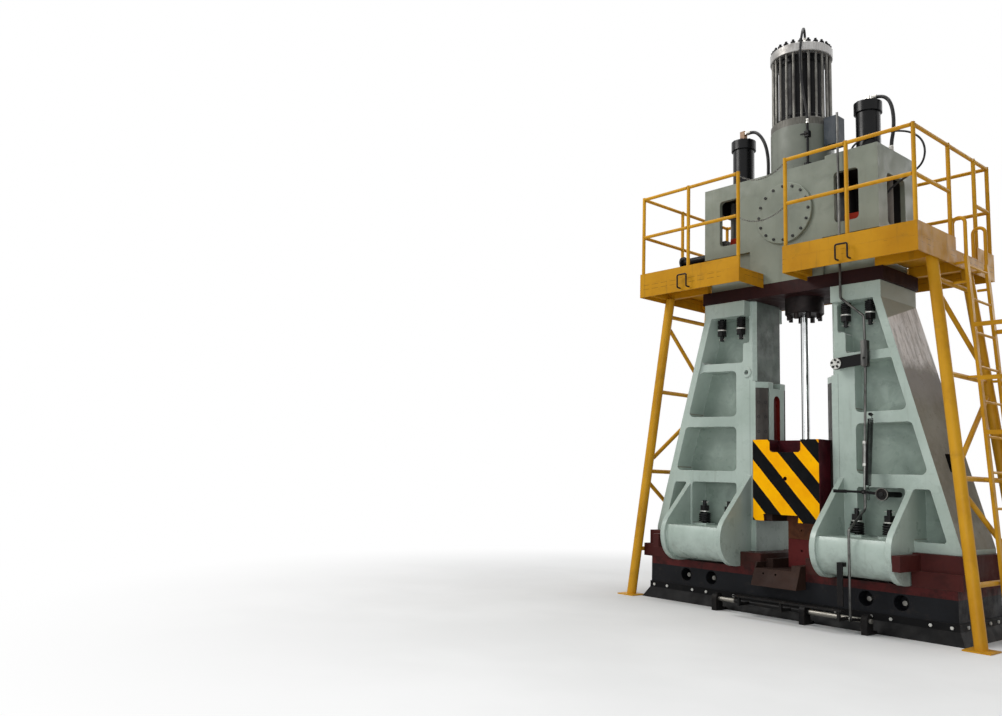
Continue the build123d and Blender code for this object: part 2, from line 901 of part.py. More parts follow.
# Power head: a cast box with two chambers and windows on every side
with BuildPart() as power_head:
    with BuildSketch(Plane.XY.offset(head_wide_z)):
        Rectangle(2 * head_half_length, 2 * head_half_depth)
    extrude(amount=head_top_z - head_wide_z)
    with BuildSketch(Plane.XY.offset(base_top_z)):
        Rectangle(2 * head_foot_half, 2 * head_foot_half_depth)
    extrude(amount=head_wide_z - base_top_z)
    with BuildSketch(Plane.XY.offset(base_top_z)):
        Rectangle(2 * head_nose_half, 2 * head_half_depth)
    extrude(amount=head_wide_z - base_top_z)
    for sx in (-1, 1):
        middle = sx * (chamber_inner + head_half_length - head_wall) / 2
        with BuildSketch(Plane.XY.offset(chamber_floor_z)):
            with Locations((middle, 0)):
                Rectangle(
                    head_half_length - head_wall - chamber_inner,
                    2 * (head_half_depth - head_wall),
                )
        extrude(amount=chamber_roof_z - chamber_floor_z, mode=Mode.SUBTRACT)
        with BuildSketch(Plane.XZ):
            middle = sx * (window_inner + window_outer) / 2
            with Locations((middle, (window_bottom_z + window_top_z) / 2)):
                RectangleRounded(
                    window_outer - window_inner, window_top_z - window_bottom_z, window_corner
                )
        extrude(amount=head_half_depth, both=True, mode=Mode.SUBTRACT)
        with BuildSketch(Plane.YZ.offset(sx * (head_half_length - head_wall))):
            with Locations((0, (side_window_bottom_z + side_window_top_z) / 2)):
                RectangleRounded(
                    2 * side_window_half, side_window_top_z - side_window_bottom_z, window_corner
                )
        extrude(amount=sx * head_wall, mode=Mode.SUBTRACT)
    with BuildSketch(Plane.XY.offset(head_top_z)):
        with Locations(((head_step_x + head_half_length) / 2, 0)):
            Rectangle(head_half_length - head_step_x, 2 * head_half_depth)
    extrude(amount=head_step_height)
    with BuildSketch(Plane.XY.offset(base_top_z)):
        Circle(liner_radius)
    extrude(amount=head_top_z + head_step_height - base_top_z, mode=Mode.SUBTRACT)
    with BuildSketch(Plane.XY.offset(base_top_z)):
        Circle(gland_radius + slot_fit)
    extrude(amount=liner_bottom_z - base_top_z, mode=Mode.SUBTRACT)
power_head.part.label = "power_head"
export_step(power_head.part, "parts/power_head.step")

with BuildPart() as round_cover:
    with BuildSketch(Plane.XZ.offset(head_half_depth)):
        with Locations((0, cover_z)):
            Circle(cover_radius)
    extrude(amount=cover_thickness)
    chamfer(round_cover.faces().sort_by(Axis.Y)[0].edges(), 6)
round_cover.part.label = "round_cover"
export_step(round_cover.part, "parts/round_cover.step")

with BuildPart() as cover_bolts:
    with BuildSketch(Plane.XZ.offset(head_half_depth + cover_thickness)):
        with Locations((0, cover_z)):
            with PolarLocations(cover_bolt_circle, cover_bolts_number):
                RegularPolygon(cover_bolt_radius, 6)
    extrude(amount=cover_bolt_head)
cover_bolts.part.label = "cover_bolts"
export_step(cover_bolts.part, "parts/cover_bolts.step")

# Valve block and pipes inside the two chambers
with BuildPart() as valve_blocks:
    with BuildSketch(Plane.XY.offset(chamber_floor_z)):
        with Locations((-valve_block_x, 0), (valve_block_x, 0)):
            Rectangle(valve_block_size[0], valve_block_size[1])
    extrude(amount=valve_block_size[2])
valve_blocks.part.label = "valve_blocks"
export_step(valve_blocks.part, "parts/valve_blocks.step")

with BuildPart() as head_pipes:
    for sx in (-1, 1):
        for x in head_pipe_x:
            round_bar((sx * x, 60, chamber_floor_z), (sx * x, 60, chamber_roof_z), head_pipe_radius)
        with BuildSketch(Plane.XY.offset(chamber_floor_z)):
            with Locations((sx * 985, -120)):
                RectangleRounded(90, 150, 12)
        extrude(amount=210)
head_pipes.part.label = "head_pipes"
export_step(head_pipes.part, "parts/head_pipes.step")

# Cylinder liner, gland and the vessel above
with BuildPart() as cylinder_liner:
    with BuildSketch(Plane.XY.offset(liner_bottom_z)):
        Circle(liner_radius)
        Circle(bore_radius, mode=Mode.SUBTRACT)
    extrude(amount=cylinder_top_z - liner_bottom_z)
cylinder_liner.part.label = "cylinder_liner"
export_step(cylinder_liner.part, "parts/cylinder_liner.step")

gland_bottom_z = column_top_z - gland_height
with BuildPart() as gland:
    with BuildSketch(Plane.XY.offset(gland_bottom_z)):
        Circle(gland_radius)
    extrude(amount=liner_bottom_z - gland_bottom_z)
    with BuildSketch(Plane.XY.offset(gland_bottom_z)):
        Circle(rod_radius + rod_fit)
    extrude(amount=liner_bottom_z - gland_bottom_z, mode=Mode.SUBTRACT)
    chamfer(gland.faces().sort_by(Axis.Z)[0].edges().sort_by(SortBy.LENGTH)[-1], 10)
gland.part.label = "gland"
export_step(gland.part, "parts/gland.step")

with BuildPart() as gland_bolts:
    with BuildSketch(Plane.XY.offset(gland_bottom_z)):
        with PolarLocations(gland_bolt_circle, gland_bolts_number):
            RegularPolygon(gland_bolt_radius, 6)
    extrude(amount=-gland_bolt_length)
gland_bolts.part.label = "gland_bolts"
export_step(gland_bolts.part, "parts/gland_bolts.step")

with BuildPart() as gas_cylinder:
    with BuildSketch(Plane.XZ):
        with BuildLine():
            Polyline(
                (liner_radius, head_top_z), (cylinder_foot_radius, head_top_z),
                (cylinder_foot_radius, head_top_z + cylinder_foot_height),
                (cylinder_radius, head_top_z + cylinder_foot_height),
                (cylinder_radius, cylinder_top_z), (liner_radius, cylinder_top_z), close=True,
            )
        make_face()
    revolve(axis=Axis.Z)
gas_cylinder.part.label = "gas_cylinder"
export_step(gas_cylinder.part, "parts/gas_cylinder.step")

with BuildPart() as clamp_flange:
    with BuildSketch(Plane.XY.offset(cylinder_top_z)):
        Circle(clamp_radius)
    extrude(amount=clamp_top_z - cylinder_top_z)
    chamfer(clamp_flange.faces().sort_by(Axis.Z)[-1].edges(), 8)
clamp_flange.part.label = "clamp_flange"
export_step(clamp_flange.part, "parts/clamp_flange.step")

with BuildPart() as vessel_shell:
    with BuildSketch(Plane.XZ):
        with BuildLine():
            Polyline(
                (0, clamp_top_z), (vessel_radius + vessel_step, clamp_top_z),
                (vessel_radius + vessel_step, clamp_top_z + 3 * vessel_step),
                (vessel_radius, clamp_top_z + 4 * vessel_step),
                (vessel_radius, ring_bottom_z - 4 * vessel_step),
                (vessel_radius + vessel_step, ring_bottom_z - 3 * vessel_step),
                (vessel_radius + vessel_step, ring_bottom_z), (0, ring_bottom_z), close=True,
            )
        make_face()
    revolve(axis=Axis.Z)
vessel_shell.part.label = "vessel_shell"
export_step(vessel_shell.part, "parts/vessel_shell.step")

with BuildPart() as tie_rods:
    with BuildSketch(Plane.XY.offset(clamp_top_z)):
        with PolarLocations(tie_rod_circle, tie_rods_number):
            Circle(tie_rod_radius)
    extrude(amount=ring_bottom_z - clamp_top_z)
tie_rods.part.label = "tie_rods"
export_step(tie_rods.part, "parts/tie_rods.step")

with BuildPart() as top_ring:
    with BuildSketch(Plane.XY.offset(ring_bottom_z)):
        Circle(ring_radius)
        Circle(top_cover_radius, mode=Mode.SUBTRACT)
    extrude(amount=ring_top_z - ring_bottom_z)
    chamfer(top_ring.edges().filter_by(GeomType.CIRCLE).sort_by(SortBy.RADIUS)[-2:], 6)
top_ring.part.label = "top_ring"
export_step(top_ring.part, "parts/top_ring.step")

with BuildPart() as tie_rod_nuts:
    with BuildSketch(Plane.XY.offset(ring_top_z)):
        with PolarLocations(tie_rod_circle, tie_rods_number):
            RegularPolygon(tie_nut_radius, 6)
    extrude(amount=tie_nut_height)
    with BuildSketch(Plane.XY.offset(ring_top_z + tie_nut_height)):
        with PolarLocations(tie_rod_circle, tie_rods_number):
            RegularPolygon(tie_rod_radius, 8)
    extrude(amount=tie_rod_end)
tie_rod_nuts.part.label = "tie_rod_nuts"
export_step(tie_rod_nuts.part, "parts/tie_rod_nuts.step")

with BuildPart() as vessel_cover:
    cover_top_z = ring_top_z + top_cover_height
    with BuildSketch(Plane.XY.offset(ring_bottom_z)):
        Circle(top_cover_radius)
    extrude(amount=cover_top_z - ring_bottom_z)
    with BuildSketch(Plane.XY.offset(cover_top_z)):
        Circle(top_boss_radius)
    extrude(amount=top_boss_height)
    eye_z = cover_top_z + top_boss_height + eye_radius
    with BuildSketch(Plane.XY.offset(eye_z)):
        with Locations((eye_radius, 0)):
            Circle(eye_bar_radius)
    revolve(axis=Axis((0, 0, eye_z), (0, 1, 0)))
vessel_cover.part.label = "vessel_cover"
export_step(vessel_cover.part, "parts/vessel_cover.step")


def accumulator(x, foot_z):
    """Build one accumulator body with its foot."""
    with BuildPart() as body:
        with BuildSketch(Plane.XY.offset(foot_z)):
            with Locations((x, 0)):
                Circle(accumulator_foot_radius)
        extrude(amount=accumulator_foot_height)
        with BuildSketch(Plane.XY.offset(foot_z + accumulator_foot_height)):
            with Locations((x, 0)):
                Circle(accumulator_radius)
        extrude(amount=accumulator_top_z - foot_z - accumulator_foot_height)
    return body


right_top_z = head_top_z + head_step_height
left_accumulator = accumulator(-accumulator_x, head_top_z)
left_accumulator.part.label = "left_accumulator"
export_step(left_accumulator.part, "parts/left_accumulator.step")

right_accumulator = accumulator(accumulator_x, right_top_z)
right_accumulator.part.label = "right_accumulator"
export_step(right_accumulator.part, "parts/right_accumulator.step")

# Accumulator caps, each with a centre port and a side port block
with BuildPart() as accumulator_caps:
    cap_top_z = accumulator_top_z + accumulator_cap_height
    with BuildSketch(Plane.XY.offset(accumulator_top_z)):
        with Locations((-accumulator_x, 0), (accumulator_x, 0)):
            Circle(accumulator_cap_radius)
    extrude(amount=accumulator_cap_height)
    port = accumulator_port_size / 2
    for x, z in ((-accumulator_x, left_port_z), (accumulator_x, right_port_z)):
        flat_bar((x - port, -port, cap_top_z), (x + port, port, z + port))
accumulator_caps.part.label = "accumulator_caps"
export_step(accumulator_caps.part, "parts/accumulator_caps.step")

with BuildPart() as valve_box:
    middle = cylinder_radius + weld_gap + valve_box_size[0] / 2
    with BuildSketch(Plane.XY.offset(valve_box_z)):
        with Locations((middle, valve_box_y)):
            RectangleRounded(valve_box_size[0], valve_box_size[1], 14)
    extrude(amount=valve_box_size[2])
valve_box.part.label = "valve_box"
export_step(valve_box.part, "parts/valve_box.step")

# Hoses, held at both ends
left_port_x = port - accumulator_x
right_port_x = port + accumulator_x
with BuildPart() as hose_left:
    hose(
        [(left_port_x, 0, left_port_z), (-668, 0, 5790), (-588, 0, 5730), (-518, 0, 5622),
         (-474, 0, 5480), (-457, 0, 5320), (-462, 0, 5160), (-462, 0, head_top_z)],
        thick_hose_radius,
    )
hose_left.part.label = "hose_left"
export_step(hose_left.part, "parts/hose_left.step")

with BuildPart() as hose_right:
    hose(
        [(right_port_x, 0, right_port_z), (938, 0, 5735), (1026, 0, 5692), (1078, 0, 5600),
         (1102, 0, 5450), (1096, 0, 5280), (1066, 0, 5150), (1066, 0, right_top_z)],
        thick_hose_radius,
    )
hose_right.part.label = "hose_right"
export_step(hose_right.part, "parts/hose_right.step")

with BuildPart() as hose_loop:
    hose(
        [(700, -200, right_top_z), (700, -200, 5118), (775, -178, 5198), (900, -132, 5240),
         (1040, -85, 5258), (1180, -55, 5245), (1315, -45, 5190), (1415, -40, 5085),
         (1447, -40, 4950), (1415, -40, 4825), (1325, -42, 4752), (1225, -50, 4702),
         (1130, -68, 4650), (1060, -95, 4578), (1020, -120, 4485), (1020, -120, 4390)],
        thin_hose_radius,
    )
hose_loop.part.label = "hose_loop"
export_step(hose_loop.part, "parts/hose_loop.step")

with BuildPart() as hose_pilot:
    hose(
        [(150, -165, cover_top_z), (150, -165, cover_top_z + 85), (180, -232, cover_top_z + 130),
         (215, -316, cover_top_z + 92), (228, -368, cover_top_z - 8), (208, -374, 6440),
         (200, -364, 6260), (205, -354, 6080), (222, -346, 5900), (245, -338, 5730),
         (pilot_x, pilot_y, 5600), (pilot_x, pilot_y, 5520)],
        pilot_hose_radius,
    )
hose_pilot.part.label = "hose_pilot"
export_step(hose_pilot.part, "parts/hose_pilot.step")

# Rigid pilot pipe with a small shut-off valve on the cylinder's front
valve_z = 5390
with BuildPart() as pilot_pipe:
    round_bar((pilot_x, pilot_y, head_top_z), (pilot_x, pilot_y, 5520), pipe_radius)
    with BuildSketch(Plane.XY.offset(valve_z - 35)):
        with Locations((pilot_x, pilot_y)):
            RectangleRounded(58, 58, 8)
    extrude(amount=70)
    with BuildSketch(Plane.XY.offset(head_top_z)):
        with Locations((pilot_x, pilot_y)):
            Circle(cylinder_foot_radius - cylinder_radius)
    extrude(amount=cylinder_foot_height)
    with BuildSketch(Plane.XY.offset(head_top_z)):
        Circle(cylinder_foot_radius + weld_gap)
    extrude(amount=cylinder_foot_height, mode=Mode.SUBTRACT)
    with BuildSketch(Plane.XY.offset(head_top_z)):
        Circle(cylinder_radius + weld_gap)
    extrude(amount=cylinder_top_z - head_top_z, mode=Mode.SUBTRACT)
pilot_pipe.part.label = "pilot_pipe"
export_step(pilot_pipe.part, "parts/pilot_pipe.step")

with BuildPart() as valve_lever:
    face_y = pilot_y - 29 - pin_gap
    with BuildSketch(Plane.XZ.offset(-face_y)):
        with Locations((pilot_x, valve_z)):
            Circle(13)
        with Locations((pilot_x - valve_lever_length / 2, valve_z)):
            RectangleRounded(valve_lever_length, 16, 7)
    extrude(amount=12)
valve_lever.part.label = "valve_lever"
export_step(valve_lever.part, "parts/valve_lever.step")

# Oil pipes that leave the head on the left, each ending in a flange
with BuildPart() as oil_pipes:
    for y, z in oil_pipe_rows:
        root = head_half_length if z > head_wide_z else head_foot_half
        round_bar((-root, y, z), (-oil_pipe_end, y, z), oil_pipe_radius)
        for start in (-head_half_length, oil_flange_thickness - oil_pipe_end):
            end = start - oil_flange_thickness
            round_bar((start, y, z), (end, y, z), oil_flange_radius)
oil_pipes.part.label = "oil_pipes"
export_step(oil_pipes.part, "parts/oil_pipes.step")

# Platform: deck plates on cross beams, open round the power head and at the front
inner_x = head_half_length + deck_margin
inner_y = head_half_depth + deck_margin
edge_x = deck_half_length - fascia_thickness - weld_gap
edge_front = -deck_front + fascia_thickness + weld_gap
edge_rear = deck_rear - fascia_thickness - weld_gap
foot_clear_x = head_foot_half + deck_margin
beam_height = deck_z - deck_thickness - base_top_z


def deck_panel(low, high):
    """Add one deck plate with two stiffening beams under it."""
    flat_bar((low[0], low[1], deck_z - deck_thickness), (high[0], high[1], deck_z))
    beam_top = deck_z - deck_thickness
    if high[0] - low[0] > high[1] - low[1]:
        for x in (low[0], high[0] - beam_width):
            flat_bar((x, low[1], beam_top - beam_height), (x + beam_width, high[1], beam_top))
    else:
        for y in (low[1], high[1] - beam_width):
            flat_bar((low[0], y, beam_top - beam_height), (high[0], y + beam_width, beam_top))


with BuildPart() as platform_deck:
    for sx in (-1, 1):
        x_low = min(sx * (gap_half + weld_gap + fascia_thickness), sx * edge_x)
        x_high = max(sx * (gap_half + weld_gap + fascia_thickness), sx * edge_x)
        deck_panel((x_low, edge_front), (x_high, -inner_y))
        x_low = min(sx * foot_clear_x, sx * edge_x)
        x_high = max(sx * foot_clear_x, sx * edge_x)
        deck_panel((x_low, -inner_y + weld_gap), (x_high, inner_y - weld_gap))
    deck_panel((-edge_x, inner_y), (edge_x, edge_rear))
    with BuildSketch(Plane.XY.offset(deck_z)):
        with Locations((upper_link_x, upper_link_y)):
            Circle(link_radius + deck_margin)
    extrude(amount=-deck_thickness, mode=Mode.SUBTRACT)
platform_deck.part.label = "platform_deck"
export_step(platform_deck.part, "parts/platform_deck.step")

# Fascia plates round the edge, and the plates that turn in at the front gap
with BuildPart() as platform_fascia:
    for sx in (-1, 1):
        near = sx * gap_half
        far = sx * deck_half_length
        flat_bar(
            (min(near, far), -deck_front, fascia_bottom_z),
            (max(near, far), -deck_front + fascia_thickness, deck_z),
        )
        turn = sx * (gap_half + fascia_thickness)
        flat_bar(
            (min(near, turn), -deck_front + fascia_thickness + weld_gap, fascia_bottom_z),
            (max(near, turn), -inner_y, deck_z),
        )
        side_near = sx * (deck_half_length - fascia_thickness)
        flat_bar(
            (min(side_near, far), -deck_front + fascia_thickness + weld_gap, fascia_bottom_z),
            (max(side_near, far), deck_rear - fascia_thickness - weld_gap, deck_z),
        )
    flat_bar(
        (-deck_half_length, deck_rear - fascia_thickness, fascia_bottom_z),
        (deck_half_length, deck_rear, deck_z),
    )
    # Small bent bars on the front plates
    for x in bracket_x:
        half = bracket_size[0] / 2
        top = deck_z + 20
        bottom = top - bracket_size[1]
        out = -deck_front - bracket_reach
        with BuildLine() as bent_bar:
            FilletPolyline(
                (x - half, -deck_front, bottom), (x - half, out, bottom), (x - half, out, top),
                (x + half, out, top), (x + half, out, bottom), (x + half, -deck_front, bottom),
                radius=2 * bracket_bar,
            )
        with BuildSketch(Plane(origin=bent_bar.line @ 0, z_dir=bent_bar.line % 0)):
            Circle(bracket_bar)
        sweep(path=bent_bar.line)
platform_fascia.part.label = "platform_fascia"
export_step(platform_fascia.part, "parts/platform_fascia.step")

with BuildPart() as toe_boards:
    low_z = deck_z + weld_gap
    board = toe_board_thickness
    for sx in (-1, 1):
        near = sx * gap_half
        far = sx * deck_half_length
        flat_bar(
            (min(near, far), -deck_front, low_z),
            (max(near, far), -deck_front + board, toe_board_top_z),
        )
        side_near = sx * (deck_half_length - board)
        spans = [(-deck_front + board + weld_gap, deck_rear - board - weld_gap)]
        if sx > 0:
            spans = [(spans[0][0], ladder_gap[0]), (ladder_gap[1], spans[0][1])]
        for start, end in spans:
            flat_bar((min(side_near, far), start, low_z), (max(side_near, far), end, toe_board_top_z))
    flat_bar(
        (-deck_half_length, deck_rear - board, low_z), (deck_half_length, deck_rear, toe_board_top_z)
    )
toe_boards.part.label = "toe_boards"
export_step(toe_boards.part, "parts/toe_boards.step")

# Guard rails: posts, and rails butted between them
side_x = front_post_x[-1]
front_y = side_post_y[0]
rear_y = side_post_y[-1]
posts = [(sx * x, front_y) for x in front_post_x for sx in (-1, 1)]
posts += [(sx * side_x, y) for y in side_post_y[1:-1] for sx in (-1, 1)]
posts += [(x, rear_y) for x in rear_post_x]
def rail(start, end, z):
    """Add one rail between the faces of two posts."""
    run = (Vector(*end) - Vector(*start)).normalized() * (rail_radius + weld_gap)
    first = Vector(*start) + run
    last = Vector(*end) - run
    round_bar((first.X, first.Y, z), (last.X, last.Y, z), rail_radius - 1)


with BuildPart() as guard_rails:
    with BuildSketch(Plane.XY.offset(deck_z)):
        with Locations(*posts):
            Circle(rail_radius)
    extrude(amount=top_rail_z + rail_radius - deck_z)
    for z in (mid_rail_z, top_rail_z):
        for sx in (-1, 1):
            for a, b in zip(front_post_x, front_post_x[1:]):
                rail((sx * a, front_y), (sx * b, front_y), z)
            for a, b in zip(side_post_y, side_post_y[1:]):
                gate = sx > 0 and z == mid_rail_z and a == side_post_y[1]
                if not gate:
                    rail((sx * side_x, a), (sx * side_x, b), z)
        for a, b in zip(rear_post_x, rear_post_x[1:]):
            rail((a, rear_y), (b, rear_y), z)
guard_rails.part.label = "guard_rails"
export_step(guard_rails.part, "parts/guard_rails.step")

leg_lean = (leg_foot_x - leg_top_x) / fascia_bottom_z


def leg_point(sx, sy, z):
    """Centre of a leg at a height."""
    share = z / fascia_bottom_z
    return (
        sx * (leg_foot_x - z * leg_lean),
        sy * (leg_foot_y + share * (leg_top_y - leg_foot_y)),
        z,
    )


# Splayed tube legs on foot plates, cut level below the platform beams
leg_top_z = deck_z - deck_thickness
with BuildPart() as platform_legs:
    for sx in (-1, 1):
        for sy in (-1, 1):
            round_bar(leg_point(sx, sy, -leg_radius), leg_point(sx, sy, leg_top_z + leg_radius), leg_radius)
    flat_cut((-3000, -3000, -500), (3000, 3000, foot_plate_thickness))
    flat_cut((-3000, -3000, leg_top_z - beam_height), (3000, 3000, leg_top_z + 500))
    with BuildSketch():
        for sx in (-1, 1):
            for sy in (-1, 1):
                with Locations((sx * leg_foot_x, sy * leg_foot_y)):
                    Rectangle(*foot_plate_size)
    extrude(amount=foot_plate_thickness)
platform_legs.part.label = "platform_legs"
export_step(platform_legs.part, "parts/platform_legs.step")


def brace(low, high):
    """Add one brace whose square ends stop just clear of the legs at both of its points."""
    start = Vector(*leg_point(*low))
    end = Vector(*leg_point(*high))
    run = (end - start).normalized()
    cuts = []
    for sx, sy, z in (low, high):
        along = Vector(*leg_point(sx, sy, z + 1)) - Vector(*leg_point(sx, sy, z))
        cosine = abs(run.dot(along.normalized()))
        cuts.append((leg_radius + weld_gap + brace_radius * cosine) / math.sqrt(1 - cosine**2))
    round_bar(tuple(start + run * cuts[0]), tuple(end - run * cuts[1]), brace_radius)


with BuildPart() as leg_braces:
    for sx in (-1, 1):
        for z in brace_levels:
            brace((sx, -1, z), (sx, 1, z))
        facing = -1
        for high, low in zip(brace_levels, brace_levels[1:]):
            brace((sx, facing, high - brace_drop), (sx, -facing, low + brace_drop))
            facing = -facing
leg_braces.part.label = "leg_braces"
export_step(leg_braces.part, "parts/leg_braces.step")


def ladder_x(z):
    """X of the ladder's middle plane at a height."""
    return ladder_top_x + ladder_lean * (ladder_top_z - z)


# Ladder with flat stringers, rungs and curved grab rails
with BuildPart() as ladder:
    for y in (ladder_front, ladder_rear):
        with BuildSketch(Plane.XZ.offset(-y)):
            with BuildLine():
                Polyline(
                    (ladder_x(ladder_bottom_z) - stringer_depth / 2, ladder_bottom_z),
                    (ladder_x(ladder_bottom_z) + stringer_depth / 2, ladder_bottom_z),
                    (ladder_x(ladder_top_z) + stringer_depth / 2, ladder_top_z),
                    (ladder_x(ladder_top_z) - stringer_depth / 2, ladder_top_z), close=True,
                )
            make_face()
        extrude(amount=stringer_width / 2, both=True)
    for number in range(rungs_number):
        z = rung_first_z + number * rung_step
        inset = stringer_width / 2 + weld_gap
        round_bar(
            (ladder_x(z), ladder_front + inset, z), (ladder_x(z), ladder_rear - inset, z), rung_radius
        )
    # Stand-offs to the braces and to the platform's edge
    half = stand_off_height / 2
    for y in (ladder_front, ladder_rear):
        for z in brace_levels:
            leg_x, leg_y, _ = leg_point(1, 1, z - half)
            near = leg_point(1, 1, z)[0] + brace_radius
            if abs(leg_y - y) < leg_radius + half:
                near = leg_x + leg_radius / math.cos(math.atan(leg_lean))
            near = near + weld_gap
            flat_bar((near, y - half, z - half), (ladder_x(z), y + half, z + half))
        low_z = fascia_bottom_z + half
        near = deck_half_length + weld_gap
        flat_bar((near, y - half, low_z), (ladder_x(low_z), y + half, low_z + 2 * half))
    # Grab rails that curve over onto the platform
    for y in (ladder_front, ladder_rear):
        top = Vector(ladder_x(ladder_top_z), y, ladder_top_z + weld_gap)
        with BuildLine() as grab_path:
            FilletPolyline(
                top, (top.X, y, handrail_top_z), (top.X - grab_width, y, handrail_top_z),
                (top.X - grab_width, y, deck_z + weld_gap), radius=grab_bend,
            )
        with BuildSketch(Plane(origin=grab_path.line @ 0, z_dir=grab_path.line % 0)):
            Circle(handrail_radius)
        sweep(path=grab_path.line)
ladder.part.label = "ladder"
export_step(ladder.part, "parts/ladder.step")


def hoop(z):
    """Add one flat hoop of the ladder cage."""
    middle = (ladder_front + ladder_rear) / 2
    half = (ladder_rear - ladder_front) / 2 + stringer_width / 2 + weld_gap
    inner = ladder_x(z)
    straight = inner + hoop_reach - half
    with BuildSketch(Plane.XY.offset(z)) as band:
        with Locations(((inner + straight) / 2, middle)):
            Rectangle(straight - inner, 2 * half + 2 * hoop_bar)
        with Locations((straight, middle)):
            Circle(half + hoop_bar)
        with Locations(((inner + straight) / 2, middle)):
            Rectangle(straight - inner, 2 * half, mode=Mode.SUBTRACT)
        with Locations((straight, middle)):
            Circle(half, mode=Mode.SUBTRACT)
        with Locations((inner - half, middle)):
            Rectangle(2 * half, 4 * half, mode=Mode.SUBTRACT)
    extrude(band.sketch, amount=hoop_width)


# Cage hoops, and the vertical straps that stand just inside them
with BuildPart() as ladder_cage:
    for z in hoop_levels:
        hoop(z)
    middle = (ladder_front + ladder_rear) / 2
    half = (ladder_rear - ladder_front) / 2 + stringer_width / 2 + weld_gap
    sagitta = half - math.sqrt(half**2 - (hoop_width / 2) ** 2)
    strap_ring = half - weld_gap - sagitta - hoop_bar / 2
    for angle in strap_angles:
        c = math.cos(math.radians(angle))
        s = math.sin(math.radians(angle))
        ends = []
        for z in (hoop_levels[0], hoop_levels[-1] + hoop_width):
            reach = ladder_x(z) + hoop_reach - half
            ends.append(Vector(reach + c * strap_ring, middle + s * strap_ring, z))
        axis = ends[1] - ends[0]
        with BuildSketch(Plane(origin=ends[0], x_dir=(-s, c, 0), z_dir=axis)):
            Rectangle(hoop_width, hoop_bar)
        extrude(amount=axis.length)
ladder_cage.part.label = "ladder_cage"
export_step(ladder_cage.part, "parts/ladder_cage.step")

# Brackets of the control gear: bearings of the treadle, and pivots of the rocker and hand lever
rocker_front = link_clevis_y - rocker_thickness / 2
hand_y = link_hand_y - link_radius - lever_gap
pivot_radius = boss_hole_radius - weld_gap
with BuildPart() as control_brackets:
    reach_y = -anvil_half_depth - skirt_flare - weld_gap
    for x in bearing_x:
        with BuildSketch(Plane.YZ.offset(x)):
            with Locations((shaft_y, shaft_z)):
                Circle(bearing_radius)
            with Locations((shaft_y, shaft_z / 2)):
                Rectangle(2 * bearing_radius, shaft_z)
            with Locations((shaft_y, shaft_z)):
                Circle(shaft_radius + rod_fit, mode=Mode.SUBTRACT)
        extrude(amount=bearing_length)
        flat_bar((x, shaft_y, 0), (x + bearing_length, reach_y, 30))
    # Pivot pins that stand out of the column
    round_bar((rocker_x, pin_seat - post_half_depth, rocker_z),
              (rocker_x, rocker_front - pin_gap, rocker_z), pivot_radius)
    round_bar((hand_hub_x, -pocket_back - weld_gap, hand_hub_z),
              (hand_hub_x, hand_y - rocker_thickness - pin_gap, hand_hub_z), pivot_radius)
    # Flat hanger in front of the right foot
    flat_bar((strut_x - strut_width / 2, strut_y - strut_thickness, strut_bottom_z),
             (strut_x + strut_width / 2, strut_y, strut_top_z))
    rise = foot_round_z - strut_top_z
    boss_y = -foot_round_y - math.sqrt((foot_round_radius - boss_recess) ** 2 - rise**2)
    flat_bar((strut_x - strut_width / 2, strut_y, strut_top_z - strut_lug),
             (strut_x + strut_width / 2, boss_y - weld_gap, strut_top_z))
control_brackets.part.label = "control_brackets"
export_step(control_brackets.part, "parts/control_brackets.step")

# Treadle: cross shaft, pedal bar on three arms, and the arm that pulls the link rod
with BuildPart() as treadle:
    shaft_ends = (bearing_x[0] - shaft_overhang, bearing_x[-1] + bearing_length + shaft_overhang)
    round_bar((shaft_ends[0], shaft_y, shaft_z), (shaft_ends[1], shaft_y, shaft_z), shaft_radius)
    for x in pedal_arm_x:
        with BuildSketch(Plane.YZ.offset(x)):
            with BuildLine():
                Polyline(
                    (shaft_y, shaft_z + pedal_arm_half), (shaft_y, shaft_z - pedal_arm_half),
                    (pedal_y - pedal_arm_half, shaft_z - pedal_arm_half),
                    (pedal_y - pedal_arm_half, pedal_z), (pedal_y + pedal_arm_half, pedal_z),
                    (pedal_y + pedal_arm_half, shaft_z + pedal_arm_half), close=True,
                )
            make_face()
        extrude(amount=pedal_arm_width)
    flat_bar(
        (pedal_left, pedal_y - pedal_width / 2, pedal_z),
        (pedal_right, pedal_y + pedal_width / 2, pedal_z + pedal_thickness),
    )
    arm_x = link_low_x + eye_thickness / 2 + lever_gap
    with BuildSketch(Plane.YZ.offset(arm_x)):
        with BuildLine():
            Polyline(
                (shaft_y, shaft_z - pedal_arm_half), (shaft_y, shaft_z + pedal_arm_half),
                (link_low_y, link_pin_z + eye_pin_radius + arm_wall),
                (link_low_y, link_pin_z - eye_pin_radius - arm_wall), close=True,
            )
        make_face()
        with Locations((link_low_y, link_pin_z)):
            Circle(eye_pin_radius + arm_wall)
    extrude(amount=eye_thickness)
    round_bar((arm_x, link_low_y, link_pin_z),
              (link_low_x - eye_thickness / 2 - lever_gap, link_low_y, link_pin_z), eye_pin_radius)
treadle.part.label = "treadle"
export_step(treadle.part, "parts/treadle.step")


eye_slot = (2 * (eye_pin_radius + eye_play), 2 * (eye_pin_radius + pin_gap))


def slide_eye(plane, at, thickness):
    """Add a flat eye whose slot lets its pin shift sideways as the arm swings."""
    with BuildSketch(plane) as outline:
        with Locations(at):
            Circle(eye_pin_radius + eye_play + eye_wall)
            SlotOverall(*eye_slot, mode=Mode.SUBTRACT)
    extrude(outline.sketch, amount=thickness / 2, both=True)


